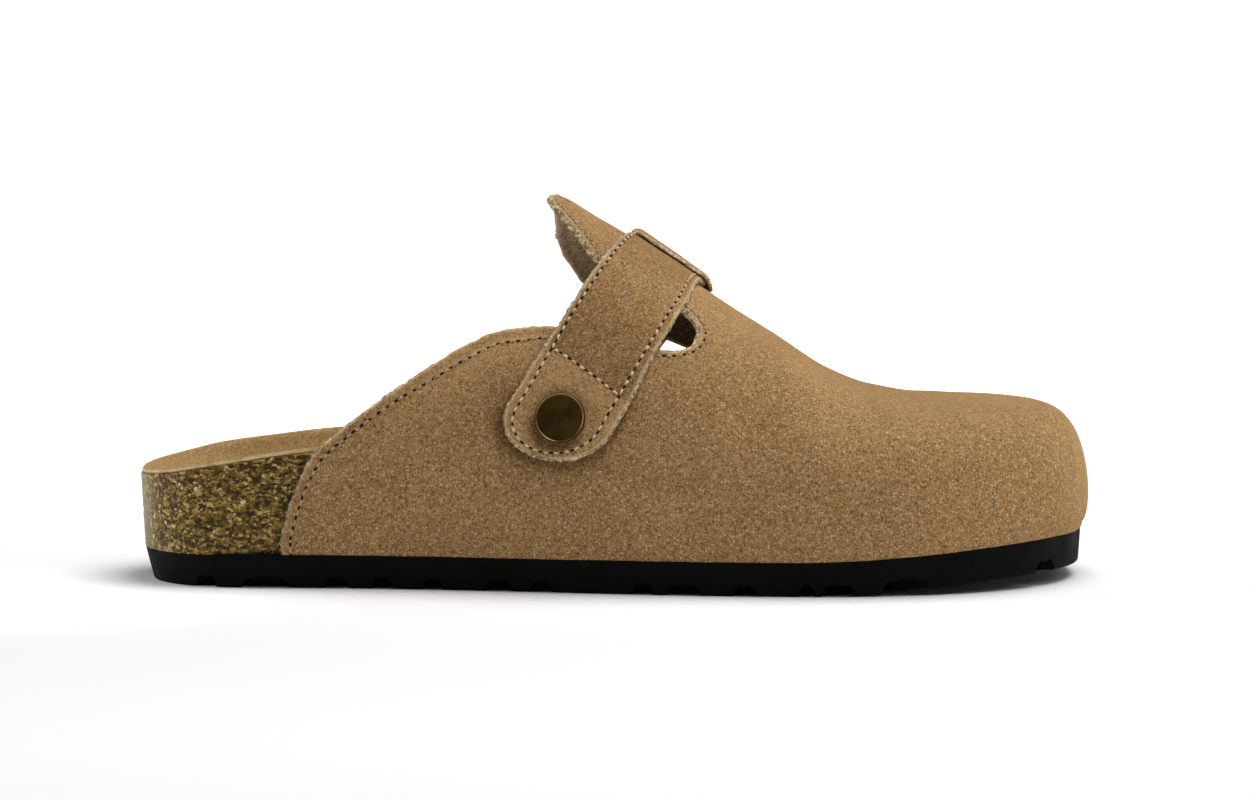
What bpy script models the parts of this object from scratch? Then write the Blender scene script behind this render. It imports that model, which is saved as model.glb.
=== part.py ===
"""Right-foot suede clog with a cork footbed, one solid for each piece.

The toe points to +X, the inner (medial) side of the foot is +Y and the floor is Z = 0.
Sizes are in millimetres; they become metres where a mesh is made.
"""

import math
from collections import namedtuple

import bmesh
import bpy
import numpy as np
from mathutils import Vector

for old in list(bpy.data.objects):
    bpy.data.objects.remove(old, do_unlink=True)

MM = 0.001
GAP = 0.3                    # clearance between pieces that touch
WELD = 0.02                  # points closer than this become one
PROBE = 0.5                  # step for measuring which way a surface faces
SHARP_DEG = 40.0             # edges that bend more than this are shaded sharp

# How finely curves are followed before points are taken from them
ARC_SAMPLES = 160
BODY_SAMPLES = 320
RIB_SAMPLES = 90
BAND_SAMPLES = 80
HALVINGS = 40

# Plan of the sole
HEEL_BACK_X = -135.55
HEEL_X = -97.5               # where the round back of the heel starts
HEEL_POWER = 2.4             # 2 is an ellipse, more is squarer
TOE_TIP_X = 134.6
TOE_TIP_Y = 9.0
HEEL_SPINE_X = -97.5         # the ribs of the heel meet here
TOE_SPINE_X = 88.0           # the ribs of the toe meet here
SPINE_TOE_Y = 7.0            # how far the middle line leans to the inner side at the toe

Side = namedtuple("Side", "sign heel_half waist_dip ball_half ball_x blend_x toe_power")
LATERAL = Side(-1, 34.4, 0.0, 53.6, 57.0, -95.0, 2.2)
MEDIAL = Side(1, 34.2, 1.8, 53.2, 68.0, -40.0, 2.3)
WAIST_X = -45.0
WAIST_REACH = 52.0

# Outsole
SOLE_THICK = 9.6
TOE_SPRING = 4.2
SPRING_START_X = 50.0
SPRING_END_X = 130.0
WallRow = namedtuple("WallRow", "inset height")
SOLE_WALL = [WallRow(2.7, 0.0), WallRow(2.3, 0.5), WallRow(1.1, 5.1), WallRow(0.0, 9.6)]
TAPER_START_X = -100.0       # the wall tapers in full behind this
TAPER_END_X = 110.0
TAPER_AT_TOE = 0.25
LUG_DEPTH = 3.6
LUG_PIVOT_Y = -44.0
GROOVE_OVERRUN = 20.0        # the channels run past both edges of the sole
GROOVE_LENGTH = 130.0
GROOVE_TOP_SHARE = 0.55      # width of a groove's roof over its mouth
SHOULDER_RISE = 0.6          # share of the depth where a groove's wall turns in
SHOULDER_SPREAD = 0.15       # share of the width by which that turn stands out
Groove = namedtuple("Groove", "x width turn_deg")
GROOVES = [
    Groove(-115.4, 5.9, 2.0), Groove(-99.3, 13.5, -1.0), Groove(-78.3, 6.5, 2.0), Groove(-66.0, 5.5, -1.0),
    Groove(-51.2, 5.3, 1.0), Groove(-32.8, 7.6, 2.0), Groove(-20.7, 5.9, 2.0), Groove(7.7, 5.5, -2.0),
    Groove(19.2, 9.5, -2.0), Groove(35.9, 6.2, 0.0), Groove(52.8, 4.7, 2.0), Groove(61.6, 9.0, 2.0),
    Groove(81.1, 13.0, -2.0), Groove(121.5, 6.0, 0.0),
]

# Ribs shared by the sole and the footbed
SOLE_STATIONS = (-97.5, -84.0, -70.0, -56.0, -42.0, -28.0, -14.0, 0.0, 14.0, 28.0, 42.0)
SOLE_END_STEPS = 11

# Footbed: height of the liner's edge on each side, and of the cork along the middle
LINER = 1.2
RIM_LAND = 2.0               # flat width of the rim
RIM_ROUND = 0.8
HEEL_FLARE = 1.2             # the cork's back leans out by this much
COVER_START_X = -118.0       # the cork draws in from here, to lie under the upper
COVER_FULL_X = -98.0
CORK_CLEAR = 0.5             # between the cork's side and the upper's inner face
CORK_SIDE_SHARES = (0.0, 0.5, 1.0)
BED_POWER = 2.6              # how quickly the bed drops away from its rim
BED_SHARES = (0.0, 0.1, 0.26, 0.5, 1.0)
RimRow = namedtuple("RimRow", "x lateral medial")
RIM = [
    RimRow(-136, 31.7, 31.7), RimRow(-126, 33.3, 33.5), RimRow(-117, 35.1, 35.4), RimRow(-100, 37.6, 38.0),
    RimRow(-84, 39.5, 39.9), RimRow(-60, 40.2, 41.7), RimRow(-35, 38.2, 42.7), RimRow(-10, 33.7, 38.7),
    RimRow(15, 29.2, 31.7), RimRow(45, 25.7, 26.7), RimRow(80, 25.7, 26.2), RimRow(135, 27.7, 27.7),
]
BedRow = namedtuple("BedRow", "x height")
BED = [
    BedRow(-136, 23.7), BedRow(-98, 22.2), BedRow(-72, 24.2), BedRow(-45, 26.7), BedRow(-18, 25.2),
    BedRow(12, 20.7), BedRow(42, 18.2), BedRow(72, 18.2), BedRow(96, 19.7), BedRow(135, 21.7),
]

# Upper: height of its ridge, squareness of its sections and swell of its side wall along the foot
UPPER_WALL = 2.0
UPPER_INSET = 0.4            # from the outsole's edge to the foot of the upper
SWELL_TOP = 0.85             # share of the height over which the wall swells
SWELL_SKEW = 0.62            # under 1, it is fullest low down
SWELL_POWER = 1.2            # over 1, it starts and ends more softly
RidgeRow = namedtuple("RidgeRow", "x height")
RIDGE = [
    RidgeRow(-103, 154.7), RidgeRow(-61.6, 135.2), RidgeRow(-18.5, 110.1), RidgeRow(5.1, 97.0),
    RidgeRow(28.7, 80.2), RidgeRow(46.2, 69.0), RidgeRow(61.6, 59.4), RidgeRow(73.9, 54.4),
    RidgeRow(88.0, 52.2), RidgeRow(104.0, 51.6), RidgeRow(137.0, 51.5),
]
FormRow = namedtuple("FormRow", "x power swell")
FORM = [
    FormRow(-140, 1.8, 0.0), FormRow(-85, 1.8, 0.2), FormRow(-40, 1.8, 0.6), FormRow(0, 2.05, 1.0),
    FormRow(36, 2.3, 1.3), FormRow(56, 3.1, 1.5), FormRow(75, 3.7, 1.6), FormRow(104, 4.6, 1.9),
    FormRow(122, 5.4, 2.2), FormRow(135, 6.0, 2.65),
]

# Edges of the upper as seen from the side: the collar runs from the heel to the notch, and the tongue's
# edge from its tip to the same notch
TONGUE_TIP_X = -18.0
EdgeRow = namedtuple("EdgeRow", "x height")
COLLAR = {
    "lateral": [
        EdgeRow(-94.0, 13.9), EdgeRow(-91.4, 23.8), EdgeRow(-88.4, 31.4), EdgeRow(-84.2, 38.4),
        EdgeRow(-77.1, 44.7), EdgeRow(-65.9, 53.1), EdgeRow(-54.6, 60.9), EdgeRow(-43.4, 67.9),
        EdgeRow(-32.1, 72.7), EdgeRow(-20.0, 73.9), EdgeRow(0.0, 71.0), EdgeRow(12.6, 67.2),
        EdgeRow(17.0, 67.0), EdgeRow(20.9, 67.8), EdgeRow(23.4, 69.5), EdgeRow(24.3, 72.2),
    ],
    "medial": [
        EdgeRow(-90.5, 13.9), EdgeRow(-87.8, 23.3), EdgeRow(-83.1, 33.0), EdgeRow(-77.0, 40.2),
        EdgeRow(-65.7, 47.9), EdgeRow(-54.4, 54.6), EdgeRow(-43.1, 60.2), EdgeRow(-31.8, 63.6),
        EdgeRow(-19.5, 64.3), EdgeRow(-5.0, 61.8), EdgeRow(8.2, 57.2), EdgeRow(18.5, 52.9),
        EdgeRow(25.0, 52.1), EdgeRow(29.2, 53.5), EdgeRow(30.9, 55.6), EdgeRow(31.4, 57.7),
    ],
}
TONGUE = {
    "lateral": [
        EdgeRow(-18.0, 108.4), EdgeRow(-17.2, 107.3), EdgeRow(-15.6, 105.7), EdgeRow(-9.9, 99.3),
        EdgeRow(-4.2, 92.4), EdgeRow(8.0, 85.0), EdgeRow(19.1, 78.9), EdgeRow(22.3, 76.2),
        EdgeRow(23.8, 74.2), EdgeRow(24.3, 72.2),
    ],
    "medial": [
        EdgeRow(-18.0, 98.2), EdgeRow(-17.3, 95.3), EdgeRow(-16.0, 92.1), EdgeRow(-13.6, 88.1),
        EdgeRow(-8.8, 82.6), EdgeRow(3.0, 74.3), EdgeRow(15.4, 67.1), EdgeRow(24.0, 63.5),
        EdgeRow(29.5, 60.5), EdgeRow(31.4, 57.7),
    ],
}
WING_STATIONS = {
    "lateral": (-94.0, -93.0, -91.4, -88.4, -84.2, -77.1, -69.0, -60.0, -50.0, -40.0, -32.0, -25.0),
    "medial": (-90.5, -89.6, -87.8, -85.0, -81.0, -75.0, -68.0, -60.0, -50.0, -40.0, -32.0, -25.0),
}
THROAT_STATIONS = (-18.0, -17.2, -15.6, -13.0, -9.0, -4.0, 2.0, 8.0, 14.0, 19.0, 22.3, 23.8, 24.3, 28.4, 30.9,
                   31.4, 36.0, 42.0)
TOE_STEPS = 17
QUARTER_ROWS = 7
TONGUE_ROWS = 5
TOE_SHARE = 0.6              # the two sets of rows meet this far up the rib at the tip of the toe

# Straps: both follow one slanting band over the instep
STRAP_WALL = 1.4
STRAP_WIDTH = 26.6
STRAP_SLOPE_DEG = 53.0
CREST_X = 15.8
STRAP_BOW = {"lateral": 4.0, "medial": -1.0}   # how far each strap curves back between crest and stud
BOW_POWER = 0.7              # under 1, the curve is strongest nearer the crest
STUD_Z = {"lateral": 48.6, "medial": 46.7}
HIDDEN_TAIL = 22.0           # the lateral strap ends this far past the crest, under the other
CUT_END = 1.5                # the medial strap ends this far short of the other side of the crest
SETTLE = 14.0                # length over which the medial strap comes down on the upper
STRAP_SLICES = 7
SLICE_SPAN = STRAP_WIDTH + 2.0 * max(STRAP_BOW.values())
STRAP_LOWEST = 0.06          # angle up a rib, in radians, where the band stops
BAND_BACK_X = -80.0          # the band lies between these two places along the foot
BAND_FRONT_X = 60.0
STRAP_CLEAR = 0.35
TAIL_CLEAR = 3.0
STRAP_STEP = 5.5
ROUND_END_DEG = (14.0, 34.0, 55.0, 73.0, 90.0)

# Stud cap, radius and height of its turned profile from the top down
CapRow = namedtuple("CapRow", "radius height")
STUD_PROFILE = [
    CapRow(0.0, 1.5), CapRow(5.6, 1.5), CapRow(6.1, 1.9), CapRow(6.6, 2.0), CapRow(7.0, 1.7),
    CapRow(7.2, 1.1), CapRow(7.1, 0.4), CapRow(6.7, 0.0), CapRow(0.0, 0.0),
]
STUD_STEPS = 32

Look = namedtuple("Look", "colour roughness metallic")
RUBBER = Look((0.006, 0.006, 0.006), 0.8, 0.0)
CORK = Look((0.130, 0.080, 0.025), 0.7, 0.0)
LINER_SUEDE = Look((0.330, 0.205, 0.085), 0.9, 0.0)
SUEDE = Look((0.260, 0.155, 0.068), 0.95, 0.0)
BRONZE = Look((0.055, 0.034, 0.010), 0.35, 1.0)


def smoothstep(share):
    share = np.clip(share, 0.0, 1.0)
    return share * share * (3.0 - 2.0 * share)


def smooth_table(xs, ys, x):
    """Cubic through the rows that never overshoots between two of them."""
    xs = np.asarray(xs, float)
    ys = np.asarray(ys, float)
    steps = np.diff(xs)
    rises = np.diff(ys) / steps
    slopes = np.empty_like(ys)
    slopes[0] = rises[0]
    slopes[-1] = rises[-1]
    before = rises[:-1]
    after = rises[1:]
    same_way = before * after > 0.0
    bottom = np.where(same_way, before + after, 1.0)
    slopes[1:-1] = np.where(same_way, 2.0 * before * after / bottom, 0.0)
    x = np.clip(np.asarray(x, float), xs[0], xs[-1])
    row = np.clip(np.searchsorted(xs, x, side="right") - 1, 0, len(xs) - 2)
    share = (x - xs[row]) / steps[row]
    start = ys[row] + steps[row] * share * slopes[row]
    bend = 3.0 * rises[row] - 2.0 * slopes[row] - slopes[row + 1]
    twist = slopes[row] + slopes[row + 1] - 2.0 * rises[row]
    return start + steps[row] * (bend * share ** 2 + twist * share ** 3)


def column(rows, name, x):
    return smooth_table([row.x for row in rows], [getattr(row, name) for row in rows], x)


def run_lengths(points):
    return np.concatenate(([0.0], np.cumsum(np.linalg.norm(np.diff(points, axis=0), axis=1))))


def read_off(values, lengths, wanted):
    """Rows of values at the wanted lengths along them."""
    return np.stack([np.interp(wanted, lengths, values[:, axis]) for axis in range(values.shape[1])], axis=-1)


def toe_spring(x):
    return TOE_SPRING * smoothstep((x - SPRING_START_X) / (SPRING_END_X - SPRING_START_X))


def spine_y(x):
    return SPINE_TOE_Y * smoothstep((x - HEEL_SPINE_X) / (TOE_SPINE_X - HEEL_SPINE_X))


Outline = namedtuple("Outline", "edge out length")


def half_outline(side):
    """Edge of the sole on one side, from the middle of the heel to the tip of the toe."""
    angles = np.linspace(0.0, math.pi / 2, ARC_SAMPLES)
    heel_x = HEEL_X + (HEEL_BACK_X - HEEL_X) * np.cos(angles) ** (2 / HEEL_POWER)
    heel_y = side.heel_half * np.sin(angles) ** (2 / HEEL_POWER)
    body_x = np.linspace(HEEL_X, side.ball_x, BODY_SAMPLES)[1:-1]
    widening = smoothstep((body_x - side.blend_x) / (side.ball_x - side.blend_x))
    dip = side.waist_dip * np.cos(np.clip((body_x - WAIST_X) / WAIST_REACH, -1, 1) * math.pi / 2) ** 2
    body_y = side.heel_half + (side.ball_half - side.heel_half) * widening - dip
    tip_y = side.sign * TOE_TIP_Y
    toe_x = side.ball_x + (TOE_TIP_X - side.ball_x) * np.sin(angles) ** (2 / side.toe_power)
    toe_y = tip_y + (side.ball_half - tip_y) * np.cos(angles) ** (2 / side.toe_power)
    edge = np.stack((np.concatenate((heel_x, body_x, toe_x)),
                     side.sign * np.concatenate((heel_y, body_y, toe_y))), axis=1)
    length = run_lengths(edge)
    along = np.gradient(edge, length, axis=0)
    along[0] = (0.0, side.sign)
    along[-1] = (0.0, -side.sign)
    along /= np.linalg.norm(along, axis=1, keepdims=True)
    out = np.stack((-side.sign * along[:, 1], side.sign * along[:, 0]), axis=1)
    return Outline(edge, out, length)


OUTLINES = {"lateral": half_outline(LATERAL), "medial": half_outline(MEDIAL)}

# A rib runs from the edge of the sole to the spine: both points in plan, and the way out at the edge
Rib = namedtuple("Rib", "edge out spine")


def edge_at(name, length):
    outline = OUTLINES[name]
    edge = read_off(outline.edge, outline.length, length)
    out = read_off(outline.out, outline.length, length)
    return edge, out / np.linalg.norm(out, axis=-1, keepdims=True)


def length_at(name, x):
    return np.interp(x, OUTLINES[name].edge[:, 0], OUTLINES[name].length)


def straight_rib(name, x):
    edge, out = edge_at(name, length_at(name, x))
    return Rib(edge, out, np.array([x, spine_y(x)]))


def end_ribs(start_x, end, steps):
    """Pairs of ribs that fan round the heel (end 0) or the toe (end 1), from a straight pair at start_x."""
    pairs = []
    for step in range(1, steps + 1):
        found = {}
        for name in OUTLINES:
            start = length_at(name, start_x)
            last = OUTLINES[name].length[-1] * end
            found[name] = edge_at(name, start + (last - start) * step / steps)
        middle_x = 0.5 * (found["lateral"][0][0] + found["medial"][0][0])
        spine_x = min(max(middle_x, HEEL_SPINE_X), TOE_SPINE_X)
        spine = np.array([spine_x, spine_y(spine_x)])
        pairs.append({name: Rib(edge, out, spine) for name, (edge, out) in found.items()})
    return pairs


def whole_sole_ribs(stations, end_steps):
    """Ribs once round the sole: up the lateral side to the toe and back down the medial side."""
    pairs = end_ribs(stations[0], 0, end_steps)[::-1]
    pairs += [{name: straight_rib(name, x) for name in OUTLINES} for x in stations]
    pairs += end_ribs(stations[-1], 1, end_steps)
    there = [("lateral", pair["lateral"]) for pair in pairs]
    back = [("medial", pair["medial"]) for pair in pairs[-2:0:-1]]
    return there + back


def upper_skin(edge, out, spine, angle):
    """Outer face of the upper on ribs given as arrays: angle 0 is the sole, a quarter turn the ridge."""
    power = column(FORM, "power", edge[..., 0])
    inward = np.cos(angle).clip(0.0) ** (2 / power)
    upward = np.sin(angle).clip(0.0) ** (2 / power)
    turn = np.clip(upward / SWELL_TOP, 0.0, 1.0) ** SWELL_SKEW * math.pi
    swell = column(FORM, "swell", edge[..., 0]) * np.sin(turn).clip(0.0) ** SWELL_POWER
    foot = edge - UPPER_INSET * out
    plan = spine + (foot - spine) * inward[..., None] + out * swell[..., None]
    base = SOLE_THICK + toe_spring(edge[..., 0]) + GAP
    height = base + (column(RIDGE, "height", plan[..., 0]) - base) * upward
    return np.concatenate((plan, height[..., None]), axis=-1)


def rib_curve(rib):
    share = np.linspace(0.0, 1.0, RIB_SAMPLES)
    half_power = 0.5 * column(FORM, "power", rib.edge[0])     # spaces the points evenly at both ends
    rising = share ** half_power
    falling = (1.0 - share) ** half_power
    angle = rising / (rising + falling) * math.pi / 2
    shape = (len(angle), 2)
    return upper_skin(np.broadcast_to(rib.edge, shape), np.broadcast_to(rib.out, shape),
                      np.broadcast_to(rib.spine, shape), angle)


def spread(points, start, end, rows):
    """Points at equal steps along a polyline, between two lengths on it."""
    return read_off(points, run_lengths(points), np.linspace(start, end, rows + 1))


def length_at_height(points, height):
    return float(np.interp(height, points[:, 2], run_lengths(points)))


def join_columns(form, columns, flip=False, closed=False):
    """Add faces between neighbouring columns of points."""
    rings = [[form.verts.new(Vector(point) * MM) for point in points] for points in columns]
    followers = rings[1:] + rings[:1] if closed else rings[1:]
    for left, right in zip(rings, followers):
        for row in range(len(left) - 1):
            corners = [left[row], right[row], right[row + 1], left[row + 1]]
            form.faces.new(corners[::-1] if flip else corners)


def welded_mesh(name, form):
    bmesh.ops.remove_doubles(form, verts=form.verts, dist=WELD * MM)
    bmesh.ops.dissolve_degenerate(form, edges=form.edges, dist=WELD * MM)
    mesh = bpy.data.meshes.new(name)
    form.to_mesh(mesh)
    form.free()
    return mesh


def closed_loft(name, columns):
    form = bmesh.new()
    join_columns(form, columns, closed=True)
    bmesh.ops.remove_doubles(form, verts=form.verts, dist=WELD * MM)
    bmesh.ops.recalc_face_normals(form, faces=form.faces)
    bmesh.ops.triangulate(form, faces=form.faces, quad_method="SHORT_EDGE")
    return welded_mesh(name, form)


def add_part(name, mesh, look):
    mesh.shade_smooth()
    mesh.set_sharp_from_angle(angle=math.radians(SHARP_DEG))
    material = bpy.data.materials.new(name)
    material.use_nodes = True
    shader = material.node_tree.nodes["Principled BSDF"]
    shader.inputs["Base Color"].default_value = (*look.colour, 1.0)
    shader.inputs["Roughness"].default_value = look.roughness
    shader.inputs["Metallic"].default_value = look.metallic
    mesh.materials.append(material)
    part = bpy.data.objects.new(name, mesh)
    part.parent = root
    parts.objects.link(part)
    return part


def add_wall(part, thickness, offset):
    wall = part.modifiers.new("wall", "SOLIDIFY")
    wall.thickness = thickness * MM
    wall.offset = offset
    wall.use_even_offset = True


def sole_taper(x):
    return 1.0 + (TAPER_AT_TOE - 1.0) * smoothstep((x - TAPER_START_X) / (TAPER_END_X - TAPER_START_X))


def sole_column(rib):
    """One rib of the outsole: middle of its tread, up its side wall, middle of its top."""
    points = [(*rib.spine, toe_spring(rib.spine[0]))]
    taper = sole_taper(rib.edge[0])
    for row in SOLE_WALL:
        plan = rib.edge - taper * row.inset * rib.out
        points.append((*plan, row.height + toe_spring(plan[0])))
    points.append((*rib.spine, SOLE_THICK + toe_spring(rib.spine[0])))
    return points


def groove_cutters():
    """One mesh of all the channels between the lugs, each a bar with a narrower roof."""
    form = bmesh.new()
    for groove in GROOVES:
        floor = toe_spring(groove.x)
        mouth = 0.5 * groove.width
        roof = mouth * GROOVE_TOP_SHARE
        shoulder = 0.5 * (mouth + roof) + SHOULDER_SPREAD * groove.width
        rise = SHOULDER_RISE * LUG_DEPTH
        section = [(-mouth, -LUG_DEPTH), (mouth, -LUG_DEPTH), (mouth, 0.0), (shoulder, rise),
                   (roof, LUG_DEPTH), (-roof, LUG_DEPTH), (-shoulder, rise), (-mouth, 0.0)]
        turn = math.radians(groove.turn_deg)
        along = Vector((-math.sin(turn), math.cos(turn), 0.0))
        across = Vector((math.cos(turn), math.sin(turn), 0.0))
        pivot = Vector((groove.x, LUG_PIVOT_Y, floor))
        corners = []
        for x, z in section:
            corner = pivot + across * x + Vector((0.0, 0.0, z)) - along * GROOVE_OVERRUN
            corners.append(form.verts.new(corner * MM))
        grown = bmesh.ops.extrude_face_region(form, geom=[form.faces.new(corners)])
        moved = [item for item in grown["geom"] if isinstance(item, bmesh.types.BMVert)]
        bmesh.ops.translate(form, verts=moved, vec=along * GROOVE_LENGTH * MM)
    bmesh.ops.recalc_face_normals(form, faces=form.faces)
    mesh = bpy.data.meshes.new("lug_grooves")
    form.to_mesh(mesh)
    form.free()
    cutter = bpy.data.objects.new("lug_grooves", mesh)
    cutter.hide_render = True
    cutter.display_type = "WIRE"
    cutters.objects.link(cutter)
    return cutter


def make_outsole():
    ribs = whole_sole_ribs(SOLE_STATIONS, SOLE_END_STEPS)
    columns = [sole_column(rib) for name, rib in ribs]
    outsole = add_part("outsole", closed_loft("outsole", columns), RUBBER)
    cut = outsole.modifiers.new("lugs", "BOOLEAN")
    cut.operation = "DIFFERENCE"
    cut.solver = "EXACT"
    cut.object = groove_cutters()


def cork_side(rib, height, rim):
    """Plan point on the cork's side at a height: bare at the heel, under the upper's wall further on."""
    base = SOLE_THICK + toe_spring(rib.edge[0]) + GAP
    curve = rib_curve(rib)
    skin = read_off(curve[:, :2], curve[:, 2], height)
    covered = skin - rib.out * (UPPER_WALL + CORK_CLEAR)
    bare = rib.edge + rib.out * HEEL_FLARE * (height - base) / (rim - base)
    cover = smoothstep((rib.edge[0] - COVER_START_X) / (COVER_FULL_X - COVER_START_X))
    return bare + (covered - bare) * cover


def bed_rows(name, rib):
    """Top of the cork along one rib, from its rim to the spine."""
    liner_top = float(column(RIM, name, rib.edge[0]))
    rim = liner_top - LINER - GAP
    side = cork_side(rib, liner_top, liner_top)
    lip = side - rib.out * RIM_ROUND
    land = lip - rib.out * RIM_LAND
    middle = float(column(BED, "height", rib.spine[0]))
    rows = [(*lip, rim)]
    for share in BED_SHARES:
        plan = land + (rib.spine - land) * share
        rows.append((*plan, middle + (rim - middle) * (1.0 - share) ** BED_POWER))
    return rows


def cork_column(name, rib):
    base = SOLE_THICK + toe_spring(rib.edge[0]) + GAP
    liner_top = float(column(RIM, name, rib.edge[0]))
    rim = liner_top - LINER - GAP
    points = [(*rib.spine, SOLE_THICK + toe_spring(rib.spine[0]) + GAP)]
    for share in CORK_SIDE_SHARES:
        height = base + (rim - RIM_ROUND - base) * share
        points.append((*cork_side(rib, height, liner_top), height))
    return points + bed_rows(name, rib)


def insole_column(name, rib):
    rows = bed_rows(name, rib)
    under = [(x, y, z + GAP) for x, y, z in reversed(rows)]
    over = [(x, y, z + GAP + LINER) for x, y, z in rows]
    return under + over


def make_footbed():
    ribs = whole_sole_ribs(SOLE_STATIONS, SOLE_END_STEPS)
    cork = closed_loft("footbed_cork", [cork_column(name, rib) for name, rib in ribs])
    add_part("footbed_cork", cork, CORK)
    liner = closed_loft("insole", [insole_column(name, rib) for name, rib in ribs])
    add_part("insole", liner, LINER_SUEDE)


def upper_columns(name):
    """Columns of one half of the upper: its quarter, up from the sole, and its tongue, up to the ridge."""
    notch = COLLAR[name][-1]
    notch_curve = rib_curve(straight_rib(name, notch.x))
    notch_share = length_at_height(notch_curve, notch.height) / run_lengths(notch_curve)[-1]
    quarter = []
    tongue = []
    for x in WING_STATIONS[name] + THROAT_STATIONS:
        curve = rib_curve(straight_rib(name, x))
        whole = run_lengths(curve)[-1]
        low = notch_share * whole
        high = low
        if x <= notch.x:
            low = length_at_height(curve, column(COLLAR[name], "height", x))
            high = length_at_height(curve, column(TONGUE[name], "height", x))
        quarter.append(spread(curve, 0.0, low, QUARTER_ROWS))
        if x >= TONGUE_TIP_X:
            tongue.append(spread(curve, high, whole, TONGUE_ROWS))
    for step, pair in enumerate(end_ribs(THROAT_STATIONS[-1], 1, TOE_STEPS), start=1):
        curve = rib_curve(pair[name])
        whole = run_lengths(curve)[-1]
        split = whole * (notch_share + (TOE_SHARE - notch_share) * step / TOE_STEPS)
        quarter.append(spread(curve, 0.0, split, QUARTER_ROWS))
        tongue.append(spread(curve, split, whole, TONGUE_ROWS))
    return quarter, tongue


def make_upper():
    form = bmesh.new()
    for name in OUTLINES:
        for columns in upper_columns(name):
            join_columns(form, columns, flip=name == "medial")
    upper = add_part("upper", welded_mesh("upper", form), SUEDE)
    add_wall(upper, UPPER_WALL, -1.0)


def skin_at(name, x, angle):
    """Outer face of the upper at places along the foot and up its ribs, both arrays."""
    edge, out = edge_at(name, length_at(name, x))
    spine = np.stack((x, spine_y(x)), axis=-1)
    return upper_skin(edge, out, spine, angle)


def skin_normal(name, x, angle):
    along = skin_at(name, x + PROBE, angle) - skin_at(name, x - PROBE, angle)
    up = skin_at(name, x, angle) - skin_at(name, x, angle - PROBE * MM)
    normal = np.cross(along, up) * (1.0 if name == "lateral" else -1.0)
    return normal / np.linalg.norm(normal, axis=-1, keepdims=True)


# Where a slanting plane cuts the upper. Length is 0 on the ridge, more down the lateral side and less down
# the medial side.
BandSlice = namedtuple("BandSlice", "length points normals")


def band_slice(width_place):
    slope = math.radians(STRAP_SLOPE_DEG)
    across = np.array([math.sin(slope), 0.0, -math.cos(slope)])
    crest = np.array([CREST_X, 0.0, float(column(RIDGE, "height", CREST_X))])
    angle = np.linspace(math.pi / 2, STRAP_LOWEST, BAND_SAMPLES)
    found = {}
    for name in OUTLINES:
        low = np.full_like(angle, BAND_BACK_X)
        high = np.full_like(angle, BAND_FRONT_X)
        for halving in range(HALVINGS):
            middle = 0.5 * (low + high)
            ahead = (skin_at(name, middle, angle) - crest) @ across > width_place
            high = np.where(ahead, middle, high)
            low = np.where(ahead, low, middle)
        points = skin_at(name, low, angle)
        found[name] = BandSlice(run_lengths(points), points, skin_normal(name, low, angle))
    lateral = found["lateral"]
    medial = found["medial"]
    return BandSlice(np.concatenate((-medial.length[:0:-1], lateral.length)),
                     np.concatenate((medial.points[:0:-1], lateral.points)),
                     np.concatenate((medial.normals[:0:-1], lateral.normals)))


def strap_place(slices, length, width_place):
    """Point on the upper and way out there, between the two nearest slices of the band."""
    place = (width_place / SLICE_SPAN + 0.5) * (STRAP_SLICES - 1)
    first = min(int(place), STRAP_SLICES - 2)
    share = place - first
    point = np.zeros(3)
    normal = np.zeros(3)
    for band, weight in ((slices[first], 1.0 - share), (slices[first + 1], share)):
        point += weight * read_off(band.points, band.length, length)
        normal += weight * read_off(band.normals, band.length, length)
    return point, normal / np.linalg.norm(normal)


def stud_length(slices, name, height):
    """Length from the ridge to the stud's height, down the middle of the band."""
    middle = slices[STRAP_SLICES // 2]
    side = middle.length >= 0.0 if name == "lateral" else middle.length <= 0.0
    heights = middle.points[side, 2]
    order = np.argsort(heights)
    return abs(float(np.interp(height, heights[order], middle.length[side][order])))


def strap_lift(name, length):
    """Clearance under a strap: the medial strap lies over the hidden tail of the other at the crest."""
    if name == "lateral":
        return STRAP_CLEAR
    settled = smoothstep((-length - HIDDEN_TAIL - TAIL_CLEAR) / SETTLE)
    return STRAP_CLEAR + (STRAP_WALL + STRAP_CLEAR) * (1.0 - settled)


def strap_columns(slices, name, stud, far_end):
    """Columns across the strap, from its round end at the stud to its cut end at far_end."""
    half = 0.5 * STRAP_WIDTH
    way = 1.0 if name == "lateral" else -1.0
    rows = []
    for degrees in ROUND_END_DEG:
        rows.append((stud + half * math.cos(math.radians(degrees)), half * math.sin(math.radians(degrees))))
    steps = round((stud - far_end) / STRAP_STEP)
    rows += [(stud + (far_end - stud) * step / steps, half) for step in range(1, steps + 1)]
    columns = []
    for length, reach in rows:
        points = []
        bow = STRAP_BOW[name] * math.sin(math.pi * min(max(length / stud, 0.0), 1.0) ** BOW_POWER)
        for share in np.linspace(-1.0, 1.0, STRAP_SLICES):
            point, normal = strap_place(slices, way * length, share * reach - bow)
            points.append(point + normal * strap_lift(name, way * length))
        columns.append(points)
    return columns


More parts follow.
